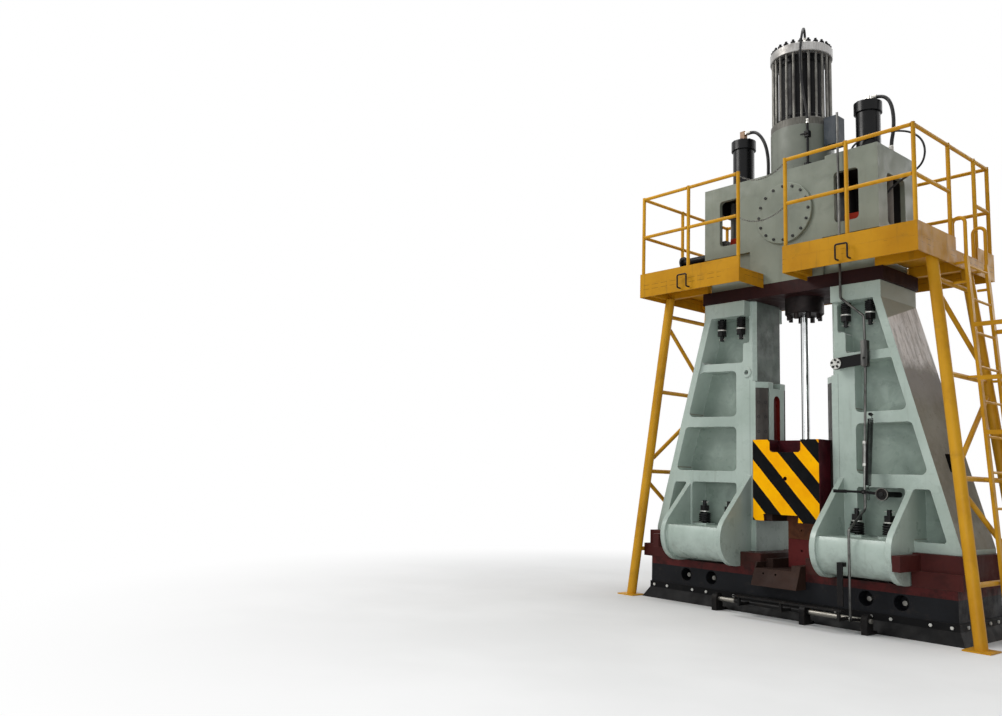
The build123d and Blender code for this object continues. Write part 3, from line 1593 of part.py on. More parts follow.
# Link rod: up in front of the foot, back along the column, and on to the valve box
with BuildPart() as link_rods:
    eye_outer = eye_pin_radius + eye_play + eye_wall / 2
    corners = [
        (link_low_x, link_low_y, link_pin_z + eye_outer), (link_low_x, link_low_y, link_bend_low_z),
        (link_hand_x, link_hand_y, link_bend_high_z), (link_hand_x, link_hand_y, link_hand_top_z),
        (link_clevis_x, link_clevis_y, clevis_low_z),
    ]
    with BuildLine() as lower_run:
        FilletPolyline(*corners, radius=link_bend)
    with BuildSketch(Plane(origin=lower_run.line @ 0, z_dir=lower_run.line % 0)):
        Circle(link_radius)
    sweep(path=lower_run.line)
    slide_eye(Plane.YZ.offset(link_low_x), (link_low_y, link_pin_z), eye_thickness)
    # Turnbuckle on the slanting run
    low = Vector(*corners[3])
    run = Vector(*corners[4]) - low
    middle = low + run * ((turnbuckle_z - link_hand_top_z) / run.Z)
    half = run.normalized() * (turnbuckle_length / 2)
    round_bar(tuple(middle - half), tuple(middle + half), turnbuckle_radius)
    # Clevis: two cheeks with a slot for the rocker's pin, open between them for the rocker
    with BuildSketch(Plane.XZ.offset(-link_clevis_y)):
        with Locations((link_clevis_x, (clevis_low_z + clevis_high_z) / 2)):
            RectangleRounded(2 * clevis_half_width, clevis_high_z - clevis_low_z, 12)
        with Locations((link_clevis_x, rocker_pin_z)):
            SlotOverall(*eye_slot, mode=Mode.SUBTRACT)
    extrude(amount=clevis_half_depth, both=True)
    with BuildSketch(Plane.XZ.offset(-link_clevis_y)):
        with Locations((link_clevis_x, rocker_pin_z)):
            Rectangle(4 * clevis_half_width, rocker_width + 2 * clevis_room)
    extrude(amount=rocker_thickness / 2 + lever_gap, both=True, mode=Mode.SUBTRACT)
    corners = [
        (link_clevis_x, link_clevis_y, clevis_high_z), (upper_bend_x, link_clevis_y, upper_bend_z),
        (upper_link_x, upper_link_y, upper_link_z), (upper_link_x, upper_link_y, upper_link_top_z),
    ]
    with BuildLine() as upper_run:
        FilletPolyline(*corners, radius=link_bend)
    with BuildSketch(Plane(origin=upper_run.line @ 0, z_dir=upper_run.line % 0)):
        Circle(link_radius)
    sweep(path=upper_run.line)
    # Pin for the hand lever
    round_bar((link_hand_x, link_hand_y, hand_lever_z),
              (link_hand_x, hand_y - rocker_thickness, hand_lever_z), eye_pin_radius)
link_rods.part.label = "link_rods"
export_step(link_rods.part, "parts/link_rods.step")

# Flat rocker from the column's boss into the clevis
with BuildPart() as rocker_arm:
    rocker_end = link_clevis_x + clevis_half_width
    with BuildSketch(Plane.XZ.offset(-link_clevis_y)):
        with BuildLine():
            Polyline(
                (rocker_x, rocker_z - rocker_width / 2), (rocker_x, rocker_z + rocker_width / 2),
                (rocker_end, rocker_pin_z + rocker_width / 2),
                (rocker_end, rocker_pin_z - rocker_width / 2), close=True,
            )
        make_face()
        with Locations((rocker_x, rocker_z)):
            Circle(rocker_hub_radius)
            Circle(pivot_radius + rod_fit, mode=Mode.SUBTRACT)
    extrude(amount=rocker_thickness / 2, both=True)
    # Sleeve behind the plate, up to the boss on the column
    sleeve_y = post_half_depth + boss_ring_proud + lever_gap
    with BuildSketch(Plane.XZ.offset(sleeve_y)):
        with Locations((rocker_x, rocker_z)):
            Circle(rocker_sleeve_radius)
            Circle(pivot_radius + rod_fit, mode=Mode.SUBTRACT)
    extrude(amount=-link_clevis_y - rocker_thickness / 2 - sleeve_y)
    round_bar((link_clevis_x, link_clevis_y - clevis_half_depth, rocker_pin_z),
              (link_clevis_x, link_clevis_y + clevis_half_depth, rocker_pin_z), eye_pin_radius)
rocker_arm.part.label = "rocker_arm"
export_step(rocker_arm.part, "parts/rocker_arm.step")

# Hand lever that works the same link rod, with its grip bent forward past the foot
with BuildPart() as hand_lever:
    with BuildSketch(Plane.XZ.offset(-hand_y)):
        with BuildLine():
            Polyline(
                (hand_hub_x, hand_hub_z - hand_bar_radius), (hand_hub_x, hand_hub_z + hand_bar_radius),
                (link_hand_x, hand_lever_z + hand_bar_radius),
                (link_hand_x, hand_lever_z - hand_bar_radius), close=True,
            )
        make_face()
        with Locations((hand_hub_x, hand_hub_z)):
            Circle(hand_hub_radius)
        with Locations((link_hand_x, hand_lever_z)):
            Circle(eye_pin_radius + eye_play + eye_wall)
        with Locations((hand_hub_x, hand_hub_z)):
            Circle(pivot_radius + rod_fit, mode=Mode.SUBTRACT)
        with Locations((link_hand_x, hand_lever_z)):
            SlotOverall(*eye_slot, mode=Mode.SUBTRACT)
    extrude(amount=rocker_thickness)
    bar_y = hand_y - rocker_thickness / 2
    bar_end = link_hand_x - eye_pin_radius - eye_play - eye_wall / 2
    with BuildLine() as bar_run:
        FilletPolyline(
            (bar_end, bar_y, hand_lever_z), (hand_arm_x, bar_y, hand_lever_z),
            (hand_grip_x, hand_grip_y, hand_lever_z), radius=link_bend,
        )
    with BuildSketch(Plane(origin=bar_run.line @ 0, z_dir=bar_run.line % 0)):
        Circle(rocker_thickness / 2)
    sweep(path=bar_run.line)
    grip_end = Vector(hand_grip_x, hand_grip_y, hand_lever_z)
    grip_way = (Vector(hand_arm_x, bar_y, hand_lever_z) - grip_end).normalized()
    round_bar(tuple(grip_end + grip_way * hand_grip_length), tuple(grip_end), hand_grip_radius)
hand_lever.part.label = "hand_lever"
export_step(hand_lever.part, "parts/hand_lever.step")

# Ram with its guide waist, the notch at the top and the dovetail slot below
ram_top_z = ram_bottom_z + ram_height
guide_line = column_inner - guide_front
ram_line = guide_line - guide_gap * math.sqrt(2)
with BuildPart() as ram:
    front_y = ram_half_width - ram_line
    waist_y = ram_waist - ram_line
    with BuildSketch(Plane.XY.offset(ram_bottom_z)):
        with BuildLine():
            Polyline(
                (ram_half_width, -ram_front), (ram_half_width, -front_y), (ram_waist, -waist_y),
                (ram_waist, waist_y), (ram_half_width, front_y), (ram_half_width, ram_front),
                (-ram_half_width, ram_front), (-ram_half_width, front_y), (-ram_waist, waist_y),
                (-ram_waist, -waist_y), (-ram_half_width, -front_y),
                (-ram_half_width, -ram_front), close=True,
            )
        make_face()
    extrude(amount=ram_height)
    with BuildSketch(Plane.XZ.offset(ram_front)):
        with Locations((0, ram_top_z - ram_notch_depth / 2 + ram_notch_corner)):
            RectangleRounded(
                2 * ram_notch_half, ram_notch_depth + 2 * ram_notch_corner, ram_notch_corner
            )
    extrude(amount=-ram_notch_back, mode=Mode.SUBTRACT)
    ram_spread = ram_slot_depth * slot_slope
    ram_slot_top = ram_bottom_z + ram_slot_depth
    with BuildSketch(Plane.XZ):
        with BuildLine():
            Polyline(
                (ram_slot_left, ram_bottom_z), (ram_slot_right, ram_bottom_z),
                (ram_slot_right + ram_spread, ram_slot_top),
                (ram_slot_left - ram_spread, ram_slot_top), close=True,
            )
        make_face()
    extrude(amount=ram_front, both=True, mode=Mode.SUBTRACT)
    with BuildSketch(Plane.XZ.offset(ram_front)):
        with Locations((0, 1474)):
            Circle(22)
    extrude(amount=-60, mode=Mode.SUBTRACT)
    chamfer(ram.edges().filter_by(Axis.Z).group_by(Axis.Y)[0].sort_by(Axis.X)[0], ram_chamfer)
    chamfer(ram.edges().filter_by(Axis.Z).group_by(Axis.Y)[0].sort_by(Axis.X)[-1], ram_chamfer)
ram.part.label = "ram"
export_step(ram.part, "parts/ram.step")

# Piston and rod, one forging, seated in the ram's top
with BuildPart() as piston_rod:
    round_bar((0, 0, ram_top_z), (0, 0, piston_bottom_z), rod_radius)
    with BuildSketch(Plane.XY.offset(piston_bottom_z)):
        Circle(bore_radius - piston_gap)
    extrude(amount=piston_height)
piston_rod.part.label = "piston_rod"
export_step(piston_rod.part, "parts/piston_rod.step")

with BuildPart() as upper_die:
    shank_left = ram_slot_left + lower_key_width
    with BuildSketch(Plane.XZ):
        with BuildLine():
            Polyline(
                (-die_half_width, die_line_z + strike_gap), (die_half_width, die_line_z + strike_gap),
                (die_half_width, ram_bottom_z), (ram_slot_right, ram_bottom_z),
                (ram_slot_right + ram_spread, ram_slot_top), (shank_left, ram_slot_top),
                (shank_left, ram_bottom_z), (-die_half_width, ram_bottom_z), close=True,
            )
        make_face()
    extrude(amount=die_half_depth, both=True)
    for side in (-1, 1):
        with BuildSketch(Plane.XZ.offset(side * die_half_depth)):
            with Locations((0, (ram_bottom_z + die_line_z) / 2)):
                Circle(handling_hole_radius)
        extrude(amount=-side * handling_hole_depth, mode=Mode.SUBTRACT)
upper_die.part.label = "upper_die"
export_step(upper_die.part, "parts/upper_die.step")

with BuildPart() as upper_die_key:
    with BuildSketch(Plane.XZ):
        with BuildLine():
            Polyline(
                (ram_slot_left, ram_bottom_z), (shank_left - weld_gap, ram_bottom_z),
                (shank_left - weld_gap, ram_slot_top), (ram_slot_left - ram_spread, ram_slot_top),
                close=True,
            )
        make_face()
    extrude(amount=ram_front - 30, both=True)
upper_die_key.part.label = "upper_die_key"
export_step(upper_die_key.part, "parts/upper_die_key.step")
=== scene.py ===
import bpy
import bmesh
import math
from mathutils import Matrix, Vector


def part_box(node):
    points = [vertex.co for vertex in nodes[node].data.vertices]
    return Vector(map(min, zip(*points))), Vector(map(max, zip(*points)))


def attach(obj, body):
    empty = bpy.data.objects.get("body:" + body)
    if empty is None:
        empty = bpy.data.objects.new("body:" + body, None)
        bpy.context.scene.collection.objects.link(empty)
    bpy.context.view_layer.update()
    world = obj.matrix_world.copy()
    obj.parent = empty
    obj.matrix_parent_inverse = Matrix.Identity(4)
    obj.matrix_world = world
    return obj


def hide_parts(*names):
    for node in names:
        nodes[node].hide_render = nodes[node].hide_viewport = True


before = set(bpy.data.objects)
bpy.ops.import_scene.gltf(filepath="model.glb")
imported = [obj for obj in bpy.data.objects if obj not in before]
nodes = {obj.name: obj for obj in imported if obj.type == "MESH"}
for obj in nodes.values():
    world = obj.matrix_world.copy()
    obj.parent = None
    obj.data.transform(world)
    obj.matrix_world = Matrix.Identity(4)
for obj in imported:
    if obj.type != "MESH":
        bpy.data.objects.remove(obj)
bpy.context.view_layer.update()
scene = bpy.context.scene

MM = 0.001


def linear(colour):
    """Linear colour from 0-255 display values."""
    out = []
    for value in colour:
        v = value / 255
        out.append(v / 12.92 if v <= 0.04045 else ((v + 0.055) / 1.055) ** 2.4)
    return (*out, 1.0)


class Tree:
    """A node tree with short ways to add and link nodes."""

    def __init__(self, owner):
        owner.use_nodes = True
        self.tree = owner.node_tree
        self.tree.nodes.clear()

    def add(self, kind, **props):
        node = self.tree.nodes.new(kind)
        for key, value in props.items():
            setattr(node, key, value)
        return node

    def link(self, a, b):
        self.tree.links.new(a, b)

    def set(self, socket, value):
        """Link a socket to another one, or write a constant into it."""
        if isinstance(value, (int, float, tuple)):
            socket.default_value = value
        else:
            self.link(value, socket)

    def math(self, op, a, b=None):
        node = self.add("ShaderNodeMath", operation=op)
        self.set(node.inputs[0], a)
        if b is not None:
            self.set(node.inputs[1], b)
        return node.outputs["Value"]


class Graph(Tree):
    """A material's node tree. Object coordinates are the shared frame, in metres."""

    def __init__(self, name):
        self.mat = bpy.data.materials.new(name)
        super().__init__(self.mat)
        self.out = self.add("ShaderNodeOutputMaterial")
        self.bsdf = self.add("ShaderNodeBsdfPrincipled")
        self.link(self.bsdf.outputs["BSDF"], self.out.inputs["Surface"])
        self.coord = self.add("ShaderNodeTexCoord").outputs["Object"]

    def mapping(self, scale):
        node = self.add("ShaderNodeMapping")
        node.inputs["Scale"].default_value = scale
        self.link(self.coord, node.inputs["Vector"])
        return node.outputs["Vector"]

    def noise(self, scale, detail=4, rough=0.55, vector=None, distortion=0.0):
        node = self.add("ShaderNodeTexNoise")
        node.inputs["Scale"].default_value = scale
        node.inputs["Detail"].default_value = detail
        node.inputs["Roughness"].default_value = rough
        node.inputs["Distortion"].default_value = distortion
        self.link(vector or self.coord, node.inputs["Vector"])
        return node.outputs["Fac"]

    def band(self, value, low, high, to_low=0.0, to_high=1.0, smooth=True):
        """Map a value from one range to another, with soft or straight shoulders."""
        node = self.add("ShaderNodeMapRange", clamp=True,
                        interpolation_type="SMOOTHSTEP" if smooth else "LINEAR")
        node.inputs["From Min"].default_value = low
        node.inputs["From Max"].default_value = high
        node.inputs["To Min"].default_value = to_low
        node.inputs["To Max"].default_value = to_high
        self.link(value, node.inputs["Value"])
        return node.outputs["Result"]

    def below(self, value, low, high):
        """1 under the low value, falling to 0 at the high one."""
        return self.band(value, low, high, 1.0, 0.0)

    def inside(self, value, low, high, soft):
        """Mask of the values between two limits, with soft shoulders inside them."""
        return self.product(self.band(value, low, low + soft),
                            self.below(value, high - soft, high))

    def patches(self, scale, detail, rough, low, high, to_low=0.0, to_high=1.0):
        """Noise cut to patches: to_low where it is under low, to_high where it is over high."""
        return self.band(self.noise(scale, detail, rough), low, high, to_low, to_high)

    def product(self, first, *others):
        for other in others:
            first = self.math("MULTIPLY", first, other)
        return first

    def reach(self, value):
        return self.math("ABSOLUTE", value)

    def away_from(self, value, centre):
        return self.reach(self.math("SUBTRACT", value, centre))

    def mix(self, factor, a, b):
        """Blend two colours, given as 0-255 display values or as sockets."""
        node = self.add("ShaderNodeMix", data_type="RGBA")
        self.set(node.inputs[0], factor)
        for socket, colour in ((node.inputs[6], a), (node.inputs[7], b)):
            self.set(socket, linear(colour) if isinstance(colour, tuple) else colour)
        return node.outputs[2]

    def split(self, vector):
        node = self.add("ShaderNodeSeparateXYZ")
        self.link(vector, node.inputs["Vector"])
        return node.outputs["X"], node.outputs["Y"], node.outputs["Z"]

    def axes(self):
        return self.split(self.coord)

    def normals(self):
        return self.split(self.add("ShaderNodeNewGeometry").outputs["Normal"])

    def rounded(self, radius):
        """Normal that is rounded over the edges within a radius."""
        bevel = self.add("ShaderNodeBevel", samples=4)
        bevel.inputs["Radius"].default_value = radius
        return bevel.outputs["Normal"]

    def edges(self, radius):
        """Mask of the edges within a radius, from how far the rounded normal leans."""
        dot = self.add("ShaderNodeVectorMath", operation="DOT_PRODUCT")
        self.link(self.rounded(radius), dot.inputs[0])
        self.link(self.add("ShaderNodeNewGeometry").outputs["Normal"], dot.inputs[1])
        return self.below(dot.outputs["Value"], 0.80, 0.995)

    def surface(self, colour, rough, metallic=0.0, bump=None, strength=0.2, distance=0.002,
                soft_edge=0.003, specular=0.28):
        """Finish the material: bump gives the height, soft_edge the rounding of sharp edges."""
        self.set(self.bsdf.inputs["Base Color"], colour)
        self.set(self.bsdf.inputs["Roughness"], rough)
        self.set(self.bsdf.inputs["Metallic"], metallic)
        self.bsdf.inputs["Specular IOR Level"].default_value = specular
        normal = self.rounded(soft_edge) if soft_edge else None
        if bump is not None:
            node = self.add("ShaderNodeBump")
            node.inputs["Strength"].default_value = strength
            node.inputs["Distance"].default_value = distance
            self.link(bump, node.inputs["Height"])
            if normal:
                self.link(normal, node.inputs["Normal"])
            normal = node.outputs["Normal"]
        if normal:
            self.link(normal, self.bsdf.inputs["Normal"])
        return self.mat


# Kinds of finish. Colours are 0-255 display values.


def paint(name, colour, light, dark, rough, grime, runs, wear=None, chips=None, dirt=None,
          orange_peel=0.12, overlays=(), specular=0.28):
    """Brushed or sprayed enamel: uneven tone, grime, runs of dirt, worn edges and chips.

    wear and chips are pairs of strength and colour. An overlay is a mask, its colour, and
    whether it shines as bare metal.
    """
    g = Graph(name)
    c = g.mix(g.patches(1.3, 6, 0.6, 0.36, 0.66), colour, light)
    blotch = g.noise(5.5, 8, 0.62, distortion=0.3)
    c = g.mix(g.product(g.band(blotch, 0.50, 0.74), grime), c, dark)
    streak = g.noise(1.0, 5, 0.6, g.mapping((16, 16, 0.9)))
    c = g.mix(g.product(g.band(streak, 0.54, 0.72), runs), c, dirt or dark)
    c = g.mix(g.product(g.patches(62.0, 3, 0.7, 0.62, 0.80), 0.35 * max(grime, 0.15)), c, dark)
    if wear:
        worn = g.product(g.edges(0.006), g.patches(14.0, 6, 0.7, 0.46, 0.62), wear[0])
        c = g.mix(worn, c, wear[1])
    if chips:
        c = g.mix(g.product(g.patches(21.0, 7, 0.75, 0.66, 0.70), chips[0]), c, chips[1])
    gloss = g.patches(7.0, 6, 0.6, 0.3, 0.7, *rough)
    metal = 0.0
    for mask_of, tint, shines in overlays:
        mask = mask_of(g)
        c = g.mix(mask, c, tint)
        if shines:
            metal = mask
    height = g.math("ADD", g.product(g.noise(170.0, 2), 0.35), g.noise(26.0, 5, 0.6))
    return g.surface(c, gloss, metal, height, orange_peel, 0.002, specular=specular)


def steel(name, colour, light, dark, rough=(0.28, 0.5), metallic=0.9, grain=(1, 1, 1), bump=0.12,
          rust=None):
    """Bare or oiled metal with its grain along one direction; rust is a strength and a colour."""
    g = Graph(name)
    along = g.mapping(grain)
    fibre = g.noise(9.0, 8, 0.7, along)
    c = g.mix(g.band(fibre, 0.35, 0.68), colour, light)
    stain = g.noise(4.2, 7, 0.65, distortion=0.4)
    c = g.mix(g.product(g.band(stain, 0.48, 0.70), 0.6), c, dark)
    if rust:
        c = g.mix(g.product(g.patches(11.0, 8, 0.72, 0.52, 0.68), rust[0]), c, rust[1])
    gloss = g.band(g.noise(12.0, 7, 0.7, along), 0.3, 0.7, *rough)
    return g.surface(c, gloss, metallic, fibre, bump, 0.001)


def rubber(name):
    """Black hose rubber with a fine cloth wrap and scuffs."""
    g = Graph(name)
    c = g.mix(g.patches(8.0, 6, 0.65, 0.38, 0.68), (14, 14, 15), (30, 29, 28))
    c = g.mix(g.product(g.patches(34.0, 6, 0.7, 0.62, 0.78), 0.3), c, (72, 67, 61))
    gloss = g.patches(14.0, 5, 0.55, 0.3, 0.7, 0.36, 0.62)
    return g.surface(c, gloss, 0.0, g.noise(260.0, 3), 0.2, 0.0008, 0.0)


# Masks of parts of a node, placed by the part's own sizes

CHAMBER_X = (0.460, 1.055)
CHAMBER_Y = 0.349
CHAMBER_Z = (4.170, 4.945)
SHAFT_Y, SHAFT_Z, SHAFT_RADIUS = -0.72, 0.13, 0.025
SHAFT_MIDDLE = (-0.46, 0.44)
CAP_TOP_Z = 5.681


def chamber_shade(g):
    """Mask of the chambers inside the head, painted near black as shade."""
    x, y, z = g.axes()
    return g.product(g.inside(g.reach(x), *CHAMBER_X, 0.005),
                     g.below(g.reach(y), CHAMBER_Y - 0.004, CHAMBER_Y),
                     g.inside(z, *CHAMBER_Z, 0.005))


def cross_shaft(g):
    """Mask of the treadle's bright shaft on both sides of its dark middle."""
    x, y, z = g.axes()
    dy, dz = g.math("SUBTRACT", y, SHAFT_Y), g.math("SUBTRACT", z, SHAFT_Z)
    away = g.math("SQRT", g.math("ADD", g.product(dy, dy), g.product(dz, dz)))
    left, right = SHAFT_MIDDLE
    bare = g.math("ADD", g.below(x, left - 0.01, left + 0.01),
                  g.band(x, right - 0.01, right + 0.01))
    return g.product(bare, g.below(away, SHAFT_RADIUS - 0.0005, SHAFT_RADIUS + 0.0010))


def right_port(g):
    """Mask of the bare steel port on the right accumulator's cap."""
    x, _, z = g.axes()
    return g.product(g.band(z, CAP_TOP_Z - 0.0005, CAP_TOP_Z + 0.0005), g.band(x, -0.1, 0.1))


def left_port(g):
    """Mask of the brass port on the left accumulator's cap."""
    x, _, z = g.axes()
    return g.product(g.band(z, CAP_TOP_Z - 0.0005, CAP_TOP_Z + 0.0005), g.below(x, -0.1, 0.1))


# Materials with a layout of their own

COLUMN_PALE = (158, 173, 163)
COLUMN_LIGHT = (176, 190, 181)
COLUMN_DARK = (86, 100, 90)
SOOT_Z = (0.45, 0.95)
POCKET_FLOOR_Y = (0.118, 0.134)
GREY_SKIN_Z = (2.15, 2.45)
RUBBED_SHEEN_Z = (2.58, 2.78)
PAINT_LINE_Z = 3.254        # height of the paint's edge on the slanted side, where y is 0
PAINT_LINE_SLOPE = 0.29
SHOULDER_X, SHOULDER_Z = 1.09, 3.37
LIFTING_X, LIFTING_Z = 1.36, 1.675
LIFTING_HALF_WIDTH, LIFTING_HALF_HEIGHT = 0.086, 0.101
HOUSING_JOINT_X, HOUSING_TOP_Z = 0.550, 2.62
POST_FACE_Y = 0.282
POST_INNER_X, POST_INNER_Z = 0.4755, 1.10
GROOVE_X = (0.3712, 0.433)
GROOVE_HALF_WIDTH, GROOVE_TOP_Z = 0.067, 2.476


def slanted_skin(g, y, z):
    """Colour of a column's slanted side: dull paint, rubbed metal painted near white as a sheen,
    then brown casting skin.
    """
    ragged = g.math("ADD", z, g.product(g.math("SUBTRACT", g.noise(3.1, 7, 0.75), 0.5), 0.5))
    skin = g.mix(g.patches(2.2, 8, 0.7, 0.35, 0.7), (146, 144, 133), (122, 118, 106))
    skin = g.mix(g.band(ragged, *GREY_SKIN_Z), skin, (150, 148, 144))
    runs = g.noise(1.0, 6, 0.7, g.mapping((6, 9, 1.4)))
    # Upper slanted side: rubbed bare metal, painted near white as a sheen
    rubbed_sheen = g.product(g.band(ragged, *RUBBED_SHEEN_Z), g.band(runs, 0.36, 0.56, 0.35, 1.0))
    skin = g.mix(rubbed_sheen, skin, (250, 250, 250))
    line = g.math("SUBTRACT", z, g.product(y, PAINT_LINE_SLOPE))
    painted = g.band(line, PAINT_LINE_Z - 0.008, PAINT_LINE_Z + 0.008)
    skin = g.mix(painted, skin, (160, 163, 150))
    return g.mix(g.patches(19.0, 7, 0.75, 0.56, 0.72, 0.0, 0.6), skin, (96, 84, 70))


def column_material():
    """Pale green casting paint; the slanted outer side is bare and scuffed, its upper part painted
    near white as a silvery sheen.
    """
    g = Graph("column_casting")
    x, y, z = g.axes()
    nx, ny, nz = g.normals()
    reach_x, reach_y = g.reach(x), g.reach(y)
    c = g.mix(g.patches(1.1, 6, 0.6, 0.38, 0.64), COLUMN_PALE, COLUMN_LIGHT)
    blotch = g.noise(4.6, 8, 0.66, distortion=0.5)
    c = g.mix(g.product(g.band(blotch, 0.54, 0.78), 0.24), c, COLUMN_DARK)
    streak = g.noise(1.0, 6, 0.65, g.mapping((14, 14, 0.8)))
    c = g.mix(g.product(g.band(streak, 0.57, 0.75), 0.24), c, (112, 118, 104))
    soot = g.product(g.band(z, *SOOT_Z, 0.4, 0.0), g.patches(6.0, 7, 0.7, 0.42, 0.66))
    c = g.mix(soot, c, (70, 74, 70))
    # Pale edges: partly paint worn through, partly a painted highlight along the rims
    worn = g.product(g.edges(0.012), g.patches(17.0, 6, 0.7, 0.40, 0.58), 0.8)
    c = g.mix(worn, c, (212, 220, 214))
    # Painted shade on the pocket floors, broken up by the blotch noise
    pocket_floor_shade = g.product(g.inside(reach_y, *POCKET_FLOOR_Y, 0.006), g.band(g.reach(ny), 0.8, 0.9),
                      g.band(blotch, 0.3, 0.6, 0.45, 0.85))
    c = g.mix(pocket_floor_shade, c, (122, 136, 126))

    # Slanted side, the shoulder over it, and the lifting pocket in it painted dark as shade
    wall = g.band(g.reach(nx), 0.90, 0.94)
    sloped = g.product(wall, g.band(nz, 0.10, 0.18))
    c = g.mix(sloped, c, slanted_skin(g, y, z))
    shoulder = g.product(wall, g.band(z, SHOULDER_Z - 0.005, SHOULDER_Z + 0.002),
                         g.band(reach_x, SHOULDER_X - 0.01, SHOULDER_X))
    c = g.mix(shoulder, c, (154, 160, 148))
    lifting_pocket_shade = g.product(
        g.below(reach_y, LIFTING_HALF_WIDTH - 0.0005, LIFTING_HALF_WIDTH + 0.0005),
        g.below(g.away_from(z, LIFTING_Z),
                LIFTING_HALF_HEIGHT - 0.001, LIFTING_HALF_HEIGHT + 0.001),
        g.band(reach_x, LIFTING_X, LIFTING_X + 0.01),
        g.math("SUBTRACT", 1.0, sloped))
    c = g.mix(lifting_pocket_shade, c, (34, 32, 28))

    # Joint of the guide housing down the front of the post
    joint = g.product(g.below(g.away_from(reach_x, HOUSING_JOINT_X), 0.0014, 0.0024),
                      g.below(ny, -0.95, -0.90),
                      g.below(z, HOUSING_TOP_Z - 0.01, HOUSING_TOP_Z),
                      g.below(reach_y, POST_FACE_Y - 0.0005, POST_FACE_Y + 0.0005), 0.8)
    c = g.mix(joint, c, (52, 54, 50))

    # Painted shade on the inner wall of the post, and the red oil groove in the guide rib
    upright = g.product(wall, g.band(z, POST_INNER_Z - 0.01, POST_INNER_Z + 0.01))
    inner_wall_shade = g.product(g.inside(reach_x, POST_INNER_X - 0.002, POST_INNER_X + 0.002, 0.001), upright)
    c = g.mix(inner_wall_shade, c, g.mix(g.patches(3.0, 7, 0.7, 0.36, 0.66), (92, 102, 94), (64, 68, 63)))
    groove = g.product(g.band(reach_x, GROOVE_X[0], GROOVE_X[0] + 0.0013),
                       g.below(reach_x, GROOVE_X[1] - 0.002, GROOVE_X[1]),
                       g.below(reach_y, GROOVE_HALF_WIDTH - 0.0002, GROOVE_HALF_WIDTH + 0.0005),
                       g.below(z, GROOVE_TOP_Z - 0.004, GROOVE_TOP_Z))
    c = g.mix(groove, c, (98, 20, 15))

    gloss = g.math("ADD", g.patches(7.0, 6, 0.6, 0.3, 0.7, 0.24, 0.44),
                   g.product(g.math("ADD", sloped, upright), 0.3))
    height = g.math("ADD", g.product(g.noise(120.0, 3), 0.4), g.noise(11.0, 6, 0.65))
    return g.surface(c, gloss, 0.0, height, 0.22, 0.004, 0.010, 0.45)


ANVIL_RED_Z = 0.401
LEDGE_Z = 0.485


def anvil_material():
    """Black-blue anvil, red-brown from just under its ledges up, with dried dust on top."""
    g = Graph("anvil_paint")
    _, _, z = g.axes()
    c = g.mix(g.patches(2.0, 7, 0.65, 0.35, 0.68), (16, 17, 20), (28, 29, 32))
    c = g.mix(g.product(g.patches(7.0, 8, 0.7, 0.54, 0.72), 0.35), c, (58, 51, 45))
    red = g.mix(g.patches(6.0, 7, 0.7, 0.4, 0.65), (76, 29, 28), (46, 22, 21))
    c = g.mix(g.band(z, ANVIL_RED_Z - 0.003, ANVIL_RED_Z + 0.003), c, red)
    dust = g.product(g.band(z, LEDGE_Z - 0.007, LEDGE_Z + 0.001),
                     g.patches(5.0, 7, 0.7, 0.35, 0.65, 0.2, 0.8))
    c = g.mix(dust, c, (60, 42, 36))
    gloss = g.patches(8.0, 6, 0.6, 0.3, 0.7, 0.35, 0.65)
    return g.surface(c, gloss, 0.0, g.noise(20.0, 7, 0.7), 0.35, 0.004, 0.006, 0.12)


STRIPE_PERIOD = 0.428
STRIPE_SHIFT = 0.0495
STRIPE_SLOPE = 1.10
RAM_FACE_Y = -0.440


def ram_material():
    """Dark maroon ram whose front face carries yellow and black warning stripes."""
    g = Graph("ram_paint")
    x, y, z = g.axes()
    _, ny, _ = g.normals()
    body = g.mix(g.patches(3.0, 7, 0.65, 0.36, 0.66), (78, 26, 33), (44, 16, 21))
    body = g.mix(g.product(g.patches(9.0, 8, 0.7, 0.56, 0.74), 0.35), body, (84, 58, 48))
    wobble = g.product(g.math("SUBTRACT", g.noise(5.0, 3), 0.5), 0.018)
    slant = g.math("ADD", g.math("ADD", g.product(x, STRIPE_SLOPE), z), wobble)
    phase = g.math("FRACT", g.math("DIVIDE", g.math("ADD", slant, STRIPE_SHIFT), STRIPE_PERIOD))
    yellow = g.mix(g.patches(3.5, 7, 0.65, 0.36, 0.66), (255, 184, 0), (246, 166, 0))
    yellow = g.mix(g.product(g.patches(10.0, 8, 0.7, 0.58, 0.76), 0.3), yellow, (120, 84, 24))
    black = g.mix(g.patches(6.0, 7, 0.7, 0.4, 0.7), (8, 9, 10), (17, 17, 18))
    stripes = g.mix(g.band(phase, 0.495, 0.505, smooth=False), black, yellow)
    front = g.product(g.below(y, RAM_FACE_Y - 0.001, RAM_FACE_Y + 0.0005),
                      g.below(ny, -0.9, -0.7))
    c = g.mix(front, body, stripes)
    worn = g.product(g.edges(0.006), g.patches(16.0, 6, 0.7, 0.44, 0.60), 0.5)
    c = g.mix(worn, c, (120, 100, 90))
    gloss = g.patches(7.0, 6, 0.6, 0.3, 0.7, 0.34, 0.60)
    return g.surface(c, gloss, 0.0, g.noise(24.0, 6, 0.65), 0.22, 0.003, 0.005, 0.06)


HOLDER_Y = -0.898
SEAM_LEVELS = (3.751, 3.803)


